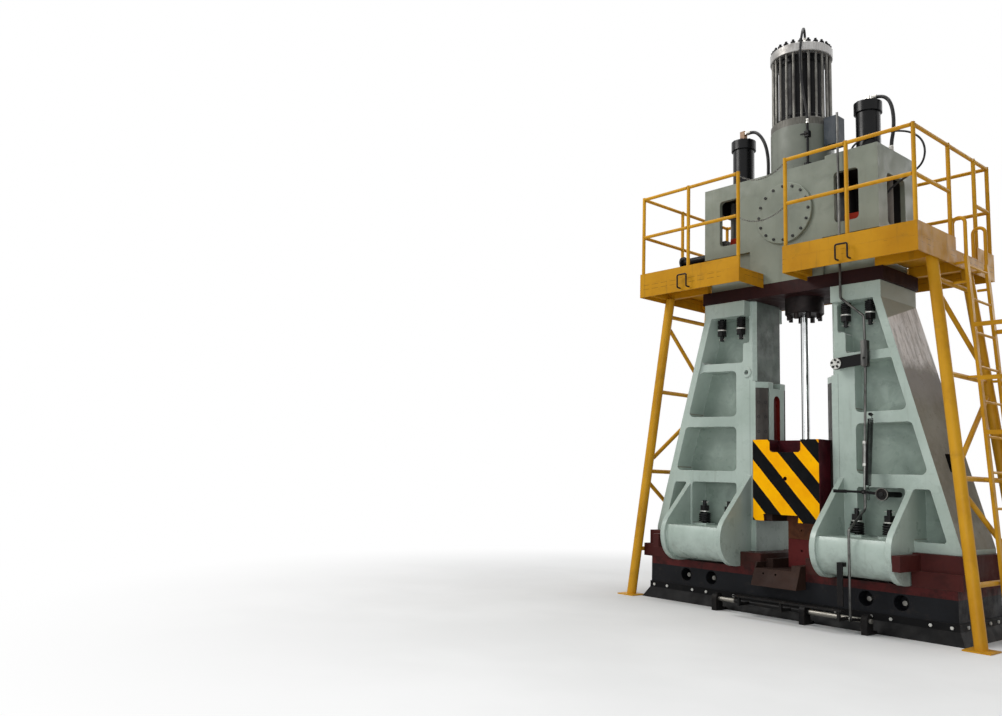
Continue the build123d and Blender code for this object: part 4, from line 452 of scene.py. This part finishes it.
def platform_material(name, seams=()):
    """Orange-yellow enamel; with seams, rows of short dark dashes and black hook holders."""
    g = Graph(name)
    x, y, z = g.axes()
    c = g.mix(g.patches(1.2, 6, 0.6, 0.36, 0.66), (190, 136, 24), (172, 118, 16))
    c = g.mix(g.product(g.patches(5.0, 8, 0.66, 0.50, 0.72), 0.40), c, (142, 104, 30))
    streak = g.noise(1.0, 5, 0.6, g.mapping((18, 18, 1.0)))
    c = g.mix(g.product(g.band(streak, 0.55, 0.72), 0.30), c, (118, 88, 34))
    if seams:
        c = g.mix(g.below(y, HOLDER_Y - 0.0005, HOLDER_Y + 0.0005), c, (30, 30, 32))
        dash = g.band(g.math("FRACT", g.product(g.math("ADD", x, y), 7.3)), 0.28, 0.32)
        broken = g.patches(2.7, 4, 0.55, 0.44, 0.50)
        for level in seams:
            row = g.product(g.below(g.away_from(z, level), 0.0022, 0.0032), dash, broken, 0.55)
            c = g.mix(row, c, (40, 30, 16))
    worn = g.product(g.edges(0.005), g.patches(18.0, 6, 0.7, 0.46, 0.62), 0.45)
    c = g.mix(worn, c, (100, 74, 40))
    gloss = g.patches(7.0, 6, 0.6, 0.3, 0.7, 0.30, 0.52)
    height = g.math("ADD", g.product(g.noise(150.0, 2), 0.3), g.noise(16.0, 5, 0.6))
    return g.surface(c, gloss, 0.0, height, 0.15, 0.002, specular=0.1)


# The materials, each with its base, light and dark colour

column_mat = column_material()
anvil_mat = anvil_material()
ram_mat = ram_material()
deck_mat = platform_material("deck_enamel")
edge_mat = platform_material("fascia_enamel", SEAM_LEVELS)
hose_mat = rubber("hose_rubber")

head_mat = paint("head_enamel", (112, 118, 106), (124, 130, 117), (66, 71, 62),
                 rough=(0.38, 0.56), grime=0.24, runs=0.18, wear=(0.5, (172, 178, 168)),
                 dirt=(92, 92, 78), overlays=((chamber_shade, (24, 22, 21), False),))
# The gas cylinder's enamel is darkened a little as painted shade
cylinder_mat = paint("cylinder_enamel", (108, 112, 103), (121, 125, 115), (72, 76, 68),
                     rough=(0.36, 0.54), grime=0.25, runs=0.35, wear=(0.4, (160, 162, 152)))
black_mat = paint("black_enamel", (10, 10, 12), (18, 18, 20), (34, 31, 28),
                  rough=(0.30, 0.48), grime=0.25, runs=0.15, wear=(0.5, (70, 66, 62)),
                  specular=0.14)
gear_mat = paint("gear_black", (12, 12, 13), (24, 23, 23), (44, 38, 33),
                 rough=(0.38, 0.6), grime=0.4, runs=0.2, wear=(0.6, (96, 88, 80)), specular=0.12)
treadle_mat = paint("treadle_black", (12, 12, 13), (24, 23, 23), (44, 38, 33),
                    rough=(0.35, 0.6), grime=0.4, runs=0.2, wear=(0.6, (96, 88, 80)),
                    overlays=((cross_shaft, (140, 137, 130), True),), specular=0.14)
gloss_mat = paint("gloss_black", (7, 7, 9), (12, 12, 14), (26, 25, 24),
                  rough=(0.22, 0.34), grime=0.12, runs=0.1, wear=(0.3, (52, 52, 52)),
                  orange_peel=0.05, specular=0.22)
cap_mat = paint("gloss_black_caps", (7, 7, 9), (12, 12, 14), (26, 25, 24),
                rough=(0.22, 0.34), grime=0.12, runs=0.1, wear=(0.3, (52, 52, 52)),
                orange_peel=0.05, specular=0.22,
                overlays=((right_port, (188, 186, 180), True),
                          (left_port, (134, 94, 50), False)))
skirt_mat = paint("skirt_black", (7, 7, 8), (14, 14, 15), (30, 28, 26),
                  rough=(0.4, 0.62), grime=0.4, runs=0.3, wear=(0.5, (84, 78, 72)), specular=0.10)
sow_mat = paint("dark_scaled_steel", (44, 31, 27), (58, 41, 34), (24, 18, 17),
                rough=(0.5, 0.72), grime=0.5, runs=0.2, wear=(0.6, (92, 76, 64)),
                chips=(0.3, (84, 62, 52)), orange_peel=0.4, specular=0.1)
die_mat = paint("red_scaled_steel", (106, 42, 42), (122, 52, 50), (56, 28, 27),
                rough=(0.48, 0.7), grime=0.55, runs=0.2, wear=(0.6, (112, 88, 76)),
                chips=(0.3, (96, 72, 62)), orange_peel=0.4, specular=0.12)
upper_mat = paint("brown_scaled_steel", (98, 56, 38), (118, 74, 50), (48, 30, 24),
                  rough=(0.45, 0.7), grime=0.6, runs=0.2, wear=(0.7, (134, 112, 98)),
                  orange_peel=0.4, specular=0.14)
key_mat = paint("key_red_brown", (60, 25, 24), (72, 31, 28), (32, 18, 17),
                rough=(0.44, 0.66), grime=0.5, runs=0.2, wear=(0.6, (108, 84, 74)),
                orange_peel=0.3, specular=0.12)
base_mat = paint("base_maroon", (36, 19, 19), (48, 25, 24), (20, 15, 15),
                 rough=(0.42, 0.62), grime=0.5, runs=0.2, wear=(0.5, (84, 66, 60)), specular=0.12)
primer_mat = paint("red_primer", (168, 44, 30), (188, 58, 38), (92, 30, 24),
                   rough=(0.4, 0.6), grime=0.4, runs=0.2, wear=(0.5, (110, 84, 74)),
                   specular=0.15)
box_mat = paint("blue_grey_enamel", (36, 45, 53), (46, 57, 68), (22, 27, 32),
                rough=(0.30, 0.48), grime=0.25, runs=0.15, wear=(0.5, (96, 104, 112)),
                specular=0.20)
rail_mat = paint("rail_enamel", (204, 150, 34), (186, 132, 24), (118, 86, 32),
                 rough=(0.32, 0.5), grime=0.3, runs=0.18, wear=(0.6, (112, 92, 62)),
                 chips=(0.25, (96, 72, 44)), specular=0.14)
pipe_mat = paint("pipe_grey", (96, 92, 86), (116, 112, 106), (52, 48, 44),
                 rough=(0.38, 0.56), grime=0.4, runs=0.2)

gland_mat = steel("oily_gland", (26, 20, 20), (42, 34, 32), (13, 12, 12), (0.4, 0.58), 0.4)
ring_mat = steel("ring_steel", (152, 150, 148), (188, 186, 183), (104, 100, 96),
                 (0.32, 0.5), 0.6, grain=(14, 14, 0.6), bump=0.06)
clamp_mat = steel("clamp_steel", (84, 82, 76), (102, 100, 94), (54, 52, 48),
                  (0.4, 0.58), 0.3, grain=(6, 6, 1), bump=0.06)
stud_mat = steel("worn_rods", (84, 82, 78), (134, 132, 126), (38, 35, 33),
                 (0.36, 0.52), 0.6, grain=(1, 1, 0.3), bump=0.08)
rod_mat = steel("piston_chrome", (206, 208, 208), (228, 230, 230), (160, 162, 164),
                (0.06, 0.18), 1.0, grain=(1, 1, 0.02), bump=0.02)
bright_mat = steel("turned_steel", (170, 168, 162), (198, 196, 190), (106, 100, 92),
                   (0.24, 0.42), 1.0, grain=(1, 1, 6), bump=0.06, rust=(0.25, (112, 86, 66)))
link_mat = steel("worn_link", (58, 58, 57), (136, 136, 132), (26, 24, 23),
                 (0.3, 0.5), 0.85, grain=(1, 1, 0.1), bump=0.1, rust=(0.4, (56, 42, 34)))
nut_mat = steel("zinc_steel", (186, 186, 180), (208, 208, 203), (124, 120, 112),
                (0.3, 0.5), 0.6)
washer_mat = steel("dull_washers", (92, 90, 86), (120, 118, 112), (52, 49, 46),
                   (0.4, 0.6), 0.6)
dark_mat = steel("oiled_dark_steel", (22, 22, 23), (40, 39, 38), (12, 12, 12),
                 (0.34, 0.52), 0.5)
guide_mat = steel("ground_guide", (54, 51, 48), (80, 76, 72), (30, 28, 26),
                  (0.34, 0.52), 0.5, grain=(1, 1, 0.08), bump=0.08, rust=(0.2, (62, 46, 38)))

DRESS = {
    "left_column": column_mat, "right_column": column_mat,
    "power_head": head_mat, "round_cover": head_mat, "gas_cylinder": cylinder_mat,
    "cover_bolts": dark_mat, "anvil": anvil_mat, "anvil_skirt": skirt_mat,
    "left_accumulator": gloss_mat, "right_accumulator": gloss_mat, "accumulator_caps": cap_mat,
    "vessel_shell": black_mat, "clamp_flange": clamp_mat, "pilot_pipe": black_mat,
    "oil_pipes": black_mat, "control_brackets": gear_mat, "treadle": treadle_mat,
    "rocker_arm": gear_mat, "hand_lever": gear_mat, "valve_lever": gear_mat,
    "sow_block": sow_mat, "lower_die": die_mat, "upper_die": upper_mat, "lower_die_key": sow_mat,
    "upper_die_key": sow_mat, "column_keys": key_mat, "valve_blocks": primer_mat,
    "ram": ram_mat, "head_base_plate": base_mat, "gland": gland_mat, "gland_bolts": gland_mat,
    "top_ring": ring_mat, "tie_rods": stud_mat, "tie_rod_nuts": black_mat,
    "vessel_cover": ring_mat, "anvil_pins": stud_mat, "skirt_bolts": nut_mat,
    "head_pipes": pipe_mat, "link_rods": link_mat, "piston_rod": rod_mat,
    "cylinder_liner": dark_mat, "guide_plates": guide_mat, "tie_studs": dark_mat,
    "tie_springs": dark_mat, "tie_nuts": dark_mat, "tie_washers": nut_mat, "valve_box": box_mat,
    "hose_left": hose_mat, "hose_right": hose_mat, "hose_loop": hose_mat,
    "hose_pilot": hose_mat, "platform_deck": deck_mat, "platform_fascia": edge_mat,
    "toe_boards": deck_mat, "guard_rails": rail_mat, "platform_legs": rail_mat,
    "leg_braces": rail_mat, "ladder": rail_mat, "ladder_cage": rail_mat,
}
for name, obj in nodes.items():
    obj.data.materials.clear()
    obj.data.materials.append(DRESS[name])


# Tools for making pieces


def piece(name, build, material, body="frame"):
    """Make one mesh piece with bmesh and hang it on its body."""
    mesh = bpy.data.meshes.new(name)
    bm = bmesh.new()
    build(bm)
    bmesh.ops.recalc_face_normals(bm, faces=bm.faces)
    bm.to_mesh(mesh)
    bm.free()
    obj = bpy.data.objects.new(name, mesh)
    scene.collection.objects.link(obj)
    mesh.materials.append(material)
    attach(obj, body)
    return obj


def circle(count, start=0.0):
    """Angles that divide a full turn, the first one start steps on."""
    return [2 * math.pi * (k + start) / count for k in range(count)]


def place(origin, axis):
    """Matrix that stands a Z-axis shape on a point along an axis."""
    turn = Vector((0, 0, 1)).rotation_difference(Vector(axis)).to_matrix().to_4x4()
    return Matrix.Translation(Vector(origin)) @ turn


def lathe(bm, profile, origin, axis, steps=16):
    """Turn a closed radius-height outline about an axis."""
    m = place(origin, axis)
    rings = []
    for r, h in profile:
        if r < 1e-6:
            rings.append([bm.verts.new(m @ Vector((0, 0, h)))])
        else:
            rings.append([bm.verts.new(m @ Vector((r * math.cos(a), r * math.sin(a), h)))
                          for a in circle(steps)])
    for a, b in zip(rings, rings[1:]):
        if len(a) == 1 and len(b) == 1:
            continue
        for k in range(steps):
            n = (k + 1) % steps
            if len(a) == 1:
                bm.faces.new((a[0], b[k], b[n]))
            elif len(b) == 1:
                bm.faces.new((a[k], a[n], b[0]))
            else:
                bm.faces.new((a[k], a[n], b[n], b[k]))


def hex_nut(bm, origin, axis, across, height, chamfer=0.12):
    """Hexagon nut with a chamfered crown, given by its width across the flats."""
    r = across / math.sqrt(3)
    lathe(bm, [(0, 0), (r, 0), (r, height * (1 - chamfer)), (r * 0.88, height), (0, height)],
          origin, axis, 6)


def tube(bm, points, radius, steps=8, closed=False):
    """Round tube through the points, with the frame carried along the path."""
    points = [Vector(p) for p in points]
    count = len(points)
    rings = []
    normal = None
    for i, p in enumerate(points):
        after = points[(i + 1) % count] if closed or i < count - 1 else p
        before = points[i - 1] if closed or i > 0 else p
        direction = (after - before).normalized()
        if normal is None:
            normal = direction.orthogonal().normalized()
        else:
            normal = (normal - direction * normal.dot(direction)).normalized()
        side = direction.cross(normal)
        rings.append([bm.verts.new(p + radius * (normal * math.cos(a) + side * math.sin(a)))
                      for a in circle(steps)])
    for i in range(count if closed else count - 1):
        a, b = rings[i], rings[(i + 1) % count]
        for k in range(steps):
            n = (k + 1) % steps
            bm.faces.new((a[k], a[n], b[n], b[k]))
    if not closed:
        bm.faces.new(list(reversed(rings[0])))
        bm.faces.new(rings[-1])


def coil(start, end, radius, turns, steps, side, front):
    """Points of a helix from start to end, about the line between them."""
    count = int(turns * steps)
    points = []
    for i in range(count + 1):
        a = 2 * math.pi * i / steps
        points.append(start.lerp(end, i / count)
                      + radius * (side * math.cos(a) + front * math.sin(a)))
    return points


X, Y, Z = Vector((1, 0, 0)), Vector((0, 1, 0)), Vector((0, 0, 1))
FRONT = -Y

# Springs of the column tie bolts, in place of the plain sleeves. The lower stacks stand on the
# columns' feet, and the upper ones hang from the pads at the columns' tops.
SEAT_Z, HANG_Z = (corner.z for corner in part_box("tie_springs"))
LOWER_STATIONS = [(sx * x, sy * 0.370) for x in (0.778, 1.119) for sx in (-1, 1) for sy in (-1, 1)]
UPPER_STATIONS = [(sx * x, sy * 0.290) for x in (0.660, 0.930) for sx in (-1, 1) for sy in (-1, 1)]
STACKS = ([(Vector((x, y, SEAT_Z)), 1) for x, y in LOWER_STATIONS]
          + [(Vector((x, y, HANG_Z)), -1) for x, y in UPPER_STATIONS])
SPRING_HEIGHT = 0.132
WASHERS_TOP = 0.146
NUT_HEIGHT = 0.062
COTTER_ABOVE_NUT = 0.040
LOWER_SPRING = (4.5, 0.0115, 0.060)      # turns, wire radius, coil radius
UPPER_SPRING = (5.5, 0.0090, 0.0450)


def springs(bm):
    for seat, up in STACKS:
        turns, wire, radius = LOWER_SPRING if up > 0 else UPPER_SPRING
        start, end = seat + Z * up * wire, seat + Z * up * (SPRING_HEIGHT - wire)
        tube(bm, coil(start, end, radius, turns, 16, X, Y), wire, 8)


coils = piece("tie_spring_coils", springs, dark_mat)
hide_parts("tie_springs")
for polygon in coils.data.polygons:
    polygon.use_smooth = True


def cotters(bm):
    """Split pins through the studs: two legs, bent apart at the tip."""
    for seat, up in STACKS:
        centre = seat + Z * up * (WASHERS_TOP + NUT_HEIGHT + COTTER_ABOVE_NUT)
        for side, tip, rise in ((-1, 0.046, -0.012), (1, 0.044, 0.006)):
            leg = [(-0.046, side * 0.004, 0), (0.034, side * 0.004, 0),
                   (tip, side * 0.016, up * rise)]
            tube(bm, [centre + Vector(p) for p in leg], 0.0035, 6)


piece("cotter_pins", cotters, nut_mat)

# Hoses on smooth splines, each with crimped ferrules at both ends: radius in metres, and the
# route in millimetres
HOSES = {
    "hose_left": (0.020, [(-780, 0, 5790), (-668, 0, 5790), (-588, 0, 5730), (-518, 0, 5622),
                          (-474, 0, 5480), (-457, 0, 5320), (-462, 0, 5160), (-462, 0, 5005)]),
    "hose_right": (0.020, [(844, 0, 5735), (938, 0, 5735), (1026, 0, 5692), (1078, 0, 5600),
                           (1102, 0, 5450), (1096, 0, 5280), (1066, 0, 5150), (1066, 0, 5043)]),
    "hose_loop": (0.011, [(700, -200, 5043), (700, -200, 5118), (775, -178, 5198),
                          (900, -132, 5240), (1040, -85, 5258), (1180, -55, 5245),
                          (1315, -45, 5190), (1415, -40, 5085), (1447, -40, 4950),
                          (1415, -40, 4825), (1325, -42, 4752), (1225, -50, 4702),
                          (1130, -68, 4650), (1060, -95, 4578), (1020, -120, 4485),
                          (1020, -120, 4390)]),
    "hose_pilot": (0.014, [(150, -165, 6610), (150, -165, 6695), (180, -232, 6740),
                           (215, -316, 6702), (228, -368, 6602), (208, -374, 6440),
                           (200, -364, 6260), (205, -354, 6080), (222, -346, 5900),
                           (245, -338, 5730), (262, -330, 5600), (262, -330, 5520)]),
}


def spline_length(curve):
    """Length of the smooth line that the curve draws."""
    bevel = curve.data.bevel_depth
    curve.data.bevel_depth = 0.0
    mesh = bpy.data.meshes.new_from_object(curve)
    total = sum((mesh.vertices[a].co - mesh.vertices[b].co).length
                for a, b in (e.vertices for e in mesh.edges))
    bpy.data.meshes.remove(mesh)
    curve.data.bevel_depth = bevel
    return total


def hose(name, radius, route):
    """Make one hose in place of its part. Its points carry the radius, so its box is no wider than
    its tube.
    """
    data = bpy.data.curves.new(name + "_line", "CURVE")
    data.dimensions = "3D"
    line = data.splines.new("NURBS")
    line.points.add(len(route) - 1)
    for point, (x, y, z) in zip(line.points, route):
        point.co = (x * MM, y * MM, z * MM, 1.0)
        point.radius = radius
    line.order_u = 3
    line.use_endpoint_u = True
    line.resolution_u = 8
    data.bevel_depth = 1.0
    data.bevel_resolution = 4
    data.use_fill_caps = True
    obj = bpy.data.objects.new(name + "_line", data)
    scene.collection.objects.link(obj)
    data.materials.append(hose_mat)
    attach(obj, "frame")
    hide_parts(name)
    spline_length(obj)


for name, (radius, route) in HOSES.items():
    hose(name, radius, route)


def ferrules(bm):
    """A nut and a ribbed sleeve at each hose end, in proportion to the hose."""
    for r, route in HOSES.values():
        for here, after in ((route[0], route[1]), (route[-1], route[-2])):
            start = Vector(here) * MM
            axis = (Vector(after) - Vector(here)).normalized()
            hex_nut(bm, start + axis * 0.001, axis, 2.5 * r, 1.1 * r)
            profile = [(0, 0), (1.12 * r, 0)]
            for k in range(4):
                h = (0.35 + 0.55 * k) * r
                profile += [(1.28 * r, h), (1.28 * r, h + 0.3 * r), (1.16 * r, h + 0.42 * r)]
            profile += [(1.10 * r, 2.7 * r), (0, 2.7 * r)]
            lathe(bm, profile, start + axis * (1.1 * r), axis, 16)


piece("hose_ferrules", ferrules, bright_mat)

# Screws of the guide plates, in two rows down each plate's slanted face
GUIDE_ROWS = [1.16 + 0.17 * k for k in range(8)]
GUIDE_COLUMNS = ((0.394, 0.199), (0.450, 0.255))
SCREW_PROFILE = [(0, 0), (0.0170, 0), (0.0170, 0.0014), (0.0110, 0.0014), (0.0100, 0.0004),
                 (0, 0.0004)]


def guide_screws(bm):
    for sx in (-1, 1):
        for sy in (-1, 1):
            axis = Vector((-sx, sy, 0)).normalized()
            for x, y in GUIDE_COLUMNS:
                for z in GUIDE_ROWS:
                    lathe(bm, SCREW_PROFILE, Vector((sx * x, sy * y, z)) - axis * 0.001, axis, 12)


piece("guide_screws", guide_screws, dark_mat)

# Safety chains across the front gap of the platform
CHAIN_HALF_SPAN, CHAIN_Y = 0.300, -0.868
CHAIN_LEVELS = ((4.900, 0.115), (4.405, 0.10))      # height of the ends, and the sag
LINK_PITCH, LINK_WIRE = 0.030, 0.0026


def chain(bm, start, end, sag):
    """Oval links along a sagging line, each a quarter turn from the last."""
    count = int((end - start).length * 1.04 / LINK_PITCH)
    half, width = LINK_PITCH * 0.42, LINK_PITCH * 0.24
    for i in range(count):
        t = (i + 0.5) / count
        p = start.lerp(end, t) - Z * (4 * sag * t * (1 - t))
        along = ((end - start) / count - Z * (4 * sag * (1 - 2 * t) / count)).normalized()
        across = Y if i % 2 else Y.cross(along).normalized()
        loop = []
        for a in circle(12):
            reach = half if math.cos(a) >= 0 else -half
            loop.append(p + along * (reach + width * math.cos(a)) + across * width * math.sin(a))
        tube(bm, loop, LINK_WIRE, 5, closed=True)


def safety_chains(bm):
    for height, sag in CHAIN_LEVELS:
        chain(bm, Vector((-CHAIN_HALF_SPAN, CHAIN_Y, height)),
              Vector((CHAIN_HALF_SPAN, CHAIN_Y, height)), sag)


piece("safety_chains", safety_chains, washer_mat)

# Socket screws round the accumulators' caps
ACCUMULATOR_X = 0.812
CAP_SCREW_CIRCLE = 0.128
CAP_SCREW_PROFILE = [(0, 0), (0.011, 0), (0.011, 0.012), (0.006, 0.012), (0.006, 0.006),
                     (0, 0.006)]


def cap_screws(bm):
    for x in (-ACCUMULATOR_X, ACCUMULATOR_X):
        for a in circle(8, 0.5):
            at = (x + CAP_SCREW_CIRCLE * math.cos(a), CAP_SCREW_CIRCLE * math.sin(a),
                  CAP_TOP_Z - 0.002)
            lathe(bm, CAP_SCREW_PROFILE, at, Z, 12)


piece("cap_screws", cap_screws, dark_mat)

# Lock nuts at both ends of the turnbuckle in the link rod
ROD_FOOT, ROD_HEAD = Vector((0.918, -0.465, 1.420)), Vector((0.912, -0.385, 2.650))
TURNBUCKLE_Z, TURNBUCKLE_HALF_LENGTH = 1.748, 0.0995


def turnbuckle_nuts(bm):
    way = (ROD_HEAD - ROD_FOOT).normalized()
    middle = ROD_FOOT.lerp(ROD_HEAD, (TURNBUCKLE_Z - ROD_FOOT.z) / (ROD_HEAD.z - ROD_FOOT.z))
    for axis in (way, -way):
        hex_nut(bm, middle + axis * TURNBUCKLE_HALF_LENGTH, axis, 0.046, 0.030)


piece("turnbuckle_nuts", turnbuckle_nuts, nut_mat, "link")

# Bright cap with dark bolts on the rocker's pivot
ROCKER_CAP = Vector((0.592, -0.3965, 2.705))
CAP_BOLT_CIRCLE = 0.040


def rocker_cap(bm):
    lathe(bm, [(0, 0), (0.060, 0), (0.060, 0.010), (0.055, 0.014), (0.024, 0.014),
               (0.022, 0.020), (0, 0.020)], ROCKER_CAP, FRONT, 32)


def rocker_bolts(bm):
    for a in circle(5, 0.25):
        at = ROCKER_CAP + FRONT * 0.0135 + CAP_BOLT_CIRCLE * (X * math.cos(a) + Z * math.sin(a))
        hex_nut(bm, at, FRONT, 0.024, 0.010)


piece("rocker_cap", rocker_cap, nut_mat, "rocker")
piece("rocker_bolts", rocker_bolts, dark_mat, "rocker")

# Ring and nut on the hand lever's hub
HAND_HUB = Vector((1.112, -0.505, 1.344))


def hub_ring(bm):
    lathe(bm, [(0.056, 0), (0.063, 0), (0.063, 0.008), (0.056, 0.008), (0.056, 0)],
          HAND_HUB - FRONT * 0.0005, FRONT, 36)
    bmesh.ops.remove_doubles(bm, verts=bm.verts, dist=1e-6)


def pivot_nuts(bm):
    hex_nut(bm, HAND_HUB, FRONT, 0.040, 0.016)


piece("hub_ring", hub_ring, washer_mat, "hand_lever")
piece("pivot_nuts", pivot_nuts, dark_mat)

# Return spring of the hand lever, hooked on a pin in the column's rib. Its lower link is a long
# eye, so that the lever can travel down inside it.
SPRING_TOP, SPRING_FOOT = Vector((0.980, -0.430, 2.150)), Vector((0.965, -0.493, 1.398))
RIB_Y = -0.396
RETURN_TURNS, RETURN_RADIUS, RETURN_WIRE, HOOK_WIRE = 62, 0.026, 0.0042, 0.0036
HOOK_RADIUS = 0.0155
EYE_CORNER, EYE_LENGTH = 0.010, 0.096


def return_spring(bm):
    axis = (SPRING_FOOT - SPRING_TOP).normalized()
    side = axis.cross(Y).normalized()
    first, last = SPRING_TOP + axis * 0.048, SPRING_FOOT - axis * 0.030
    body = coil(first, last, RETURN_RADIUS, RETURN_TURNS, 12, side, axis.cross(side))
    tube(bm, body, RETURN_WIRE, 6)

    hook = [first + side * RETURN_RADIUS, first - axis * 0.012 + side * 0.012]
    for k in range(13):
        a = math.radians(60 - 26 * k)
        hook.append(SPRING_TOP + HOOK_RADIUS * (X * math.sin(a) - Z * math.cos(a)))
    tube(bm, hook, HOOK_WIRE, 6)
    tail = [last + side * RETURN_RADIUS, last + axis * 0.012 + side * 0.006,
            SPRING_FOOT - axis * 0.004]
    tube(bm, tail, HOOK_WIRE, 6)

    eye = []
    corners = ((1, -EYE_LENGTH, -90), (1, 0.0, 0), (-1, 0.0, 90), (-1, -EYE_LENGTH, 180))
    for half, drop, start in corners:
        centre = SPRING_FOOT + Y * half * EYE_CORNER + Z * (drop - EYE_CORNER)
        for k in range(5):
            a = math.radians(start + 22.5 * k)
            eye.append(centre + EYE_CORNER * (Y * math.cos(a) + Z * math.sin(a)))
    tube(bm, eye, HOOK_WIRE, 6, closed=True)

    pin = [(0, 0), (0.010, 0), (0.010, 0.050), (0.016, 0.050), (0.016, 0.058), (0, 0.058)]
    lathe(bm, pin, (SPRING_TOP.x, RIB_Y, SPRING_TOP.z), FRONT, 16)


piece("return_spring", return_spring, black_mat)

# Pale floor. In the camera's view it fades to white away from the object.
FLOOR_HALF = 60
FADE_START, FADE_END = 3.2, 8.5
floor_mesh = bpy.data.meshes.new("floor")
floor_mesh.from_pydata([(-FLOOR_HALF, -FLOOR_HALF, 0), (FLOOR_HALF, -FLOOR_HALF, 0),
                        (FLOOR_HALF, FLOOR_HALF, 0), (-FLOOR_HALF, FLOOR_HALF, 0)],
                       [], [(0, 1, 2, 3)])
floor = bpy.data.objects.new("floor", floor_mesh)
scene.collection.objects.link(floor)
g = Graph("floor_pale")
shade = g.add("ShaderNodeMix", data_type="RGBA")
g.link(g.patches(0.35, 4, 0.55, 0.35, 0.65), shade.inputs[0])
shade.inputs[6].default_value = (0.74, 0.74, 0.735, 1)
shade.inputs[7].default_value = (0.80, 0.80, 0.795, 1)
g.surface(shade.outputs[2], 0.85, soft_edge=0.0)
floor_x, floor_y, _ = g.axes()
away = g.math("SQRT", g.math("ADD", g.product(floor_x, floor_x), g.product(floor_y, floor_y)))
seen = g.product(g.band(away, FADE_START, FADE_END),
                 g.add("ShaderNodeLightPath").outputs["Is Camera Ray"])
glow = g.add("ShaderNodeEmission")
glow.inputs["Color"].default_value = (1, 1, 1, 1)
blend = g.add("ShaderNodeMixShader")
g.link(seen, blend.inputs[0])
g.link(g.bsdf.outputs["BSDF"], blend.inputs[1])
g.link(glow.outputs["Emission"], blend.inputs[2])
g.link(blend.outputs["Shader"], g.out.inputs["Surface"])
floor_mesh.materials.append(g.mat)

# World: soft light on the object, plain white to camera, glossy and transmission rays
world = bpy.data.worlds.new("studio")
scene.world = world
w = Tree(world)
ray = w.add("ShaderNodeLightPath").outputs
white_rays = w.math("MAXIMUM", w.math("MAXIMUM", ray["Is Camera Ray"], ray["Is Glossy Ray"]),
                    ray["Is Transmission Ray"])
world_mix = w.add("ShaderNodeMixShader")
w.link(white_rays, world_mix.inputs[0])
for k, (colour, strength) in enumerate((((0.92, 0.96, 1.0, 1), 0.27), ((1, 1, 1, 1), 1.0))):
    background = w.add("ShaderNodeBackground")
    background.inputs["Color"].default_value = colour
    background.inputs["Strength"].default_value = strength
    w.link(background.outputs[0], world_mix.inputs[k + 1])
w.link(world_mix.outputs[0], w.add("ShaderNodeOutputWorld").inputs[0])


def area(name, place_at, aim_z, size, power, colour=(1, 1, 1)):
    """Soft lamp aimed at a point on the hammer's middle line."""
    lamp = bpy.data.lights.new(name, "AREA")
    lamp.shape = "RECTANGLE"
    lamp.size, lamp.size_y = size
    lamp.energy = power
    lamp.color = colour
    obj = bpy.data.objects.new(name, lamp)
    obj.location = place_at
    aim = Vector((0, 0, aim_z)) - Vector(place_at)
    obj.rotation_euler = aim.to_track_quat("-Z", "Y").to_euler()
    scene.collection.objects.link(obj)


area("key", (-7.5, -9.5, 11.0), 2.8, (6, 5), 820, (1.0, 0.98, 0.95))
area("fill", (5.0, -11.0, 2.6), 1.6, (7, 4), 340, (0.95, 0.98, 1.0))
area("top", (0.5, 0.0, 13.0), 3.0, (9, 7), 860)
area("rear", (3.0, 11.0, 7.0), 3.0, (7, 5), 260)

# Camera, as it was solved from the photo
CAMERA_AT = (5.311, -9.031, 1.387)
AZIMUTH, PITCH, ROLL = (math.radians(v) for v in (49.977, 7.794, 1.992))
FOCAL_PIXELS, PHOTO_WIDTH, SENSOR_WIDTH = 866.75, 1002, 36.0
ahead = Vector((-math.sin(AZIMUTH), math.cos(AZIMUTH), 0))
across = Vector((math.cos(AZIMUTH), math.sin(AZIMUTH), 0))
look = ahead * math.cos(PITCH) + Z * math.sin(PITCH)
above = Z * math.cos(PITCH) - ahead * math.sin(PITCH)
right = across * math.cos(ROLL) + above * math.sin(ROLL)
up = above * math.cos(ROLL) - across * math.sin(ROLL)
camera_data = bpy.data.cameras.new("camera")
camera_data.sensor_fit = "HORIZONTAL"
camera_data.sensor_width = SENSOR_WIDTH
camera_data.lens = FOCAL_PIXELS * SENSOR_WIDTH / PHOTO_WIDTH
camera_data.clip_end = 200.0
camera = bpy.data.objects.new("camera", camera_data)
camera.matrix_world = (Matrix.Translation(CAMERA_AT)
                       @ Matrix((right, up, -look)).transposed().to_4x4())
scene.collection.objects.link(camera)
scene.camera = camera
scene.view_settings.view_transform = "Standard"
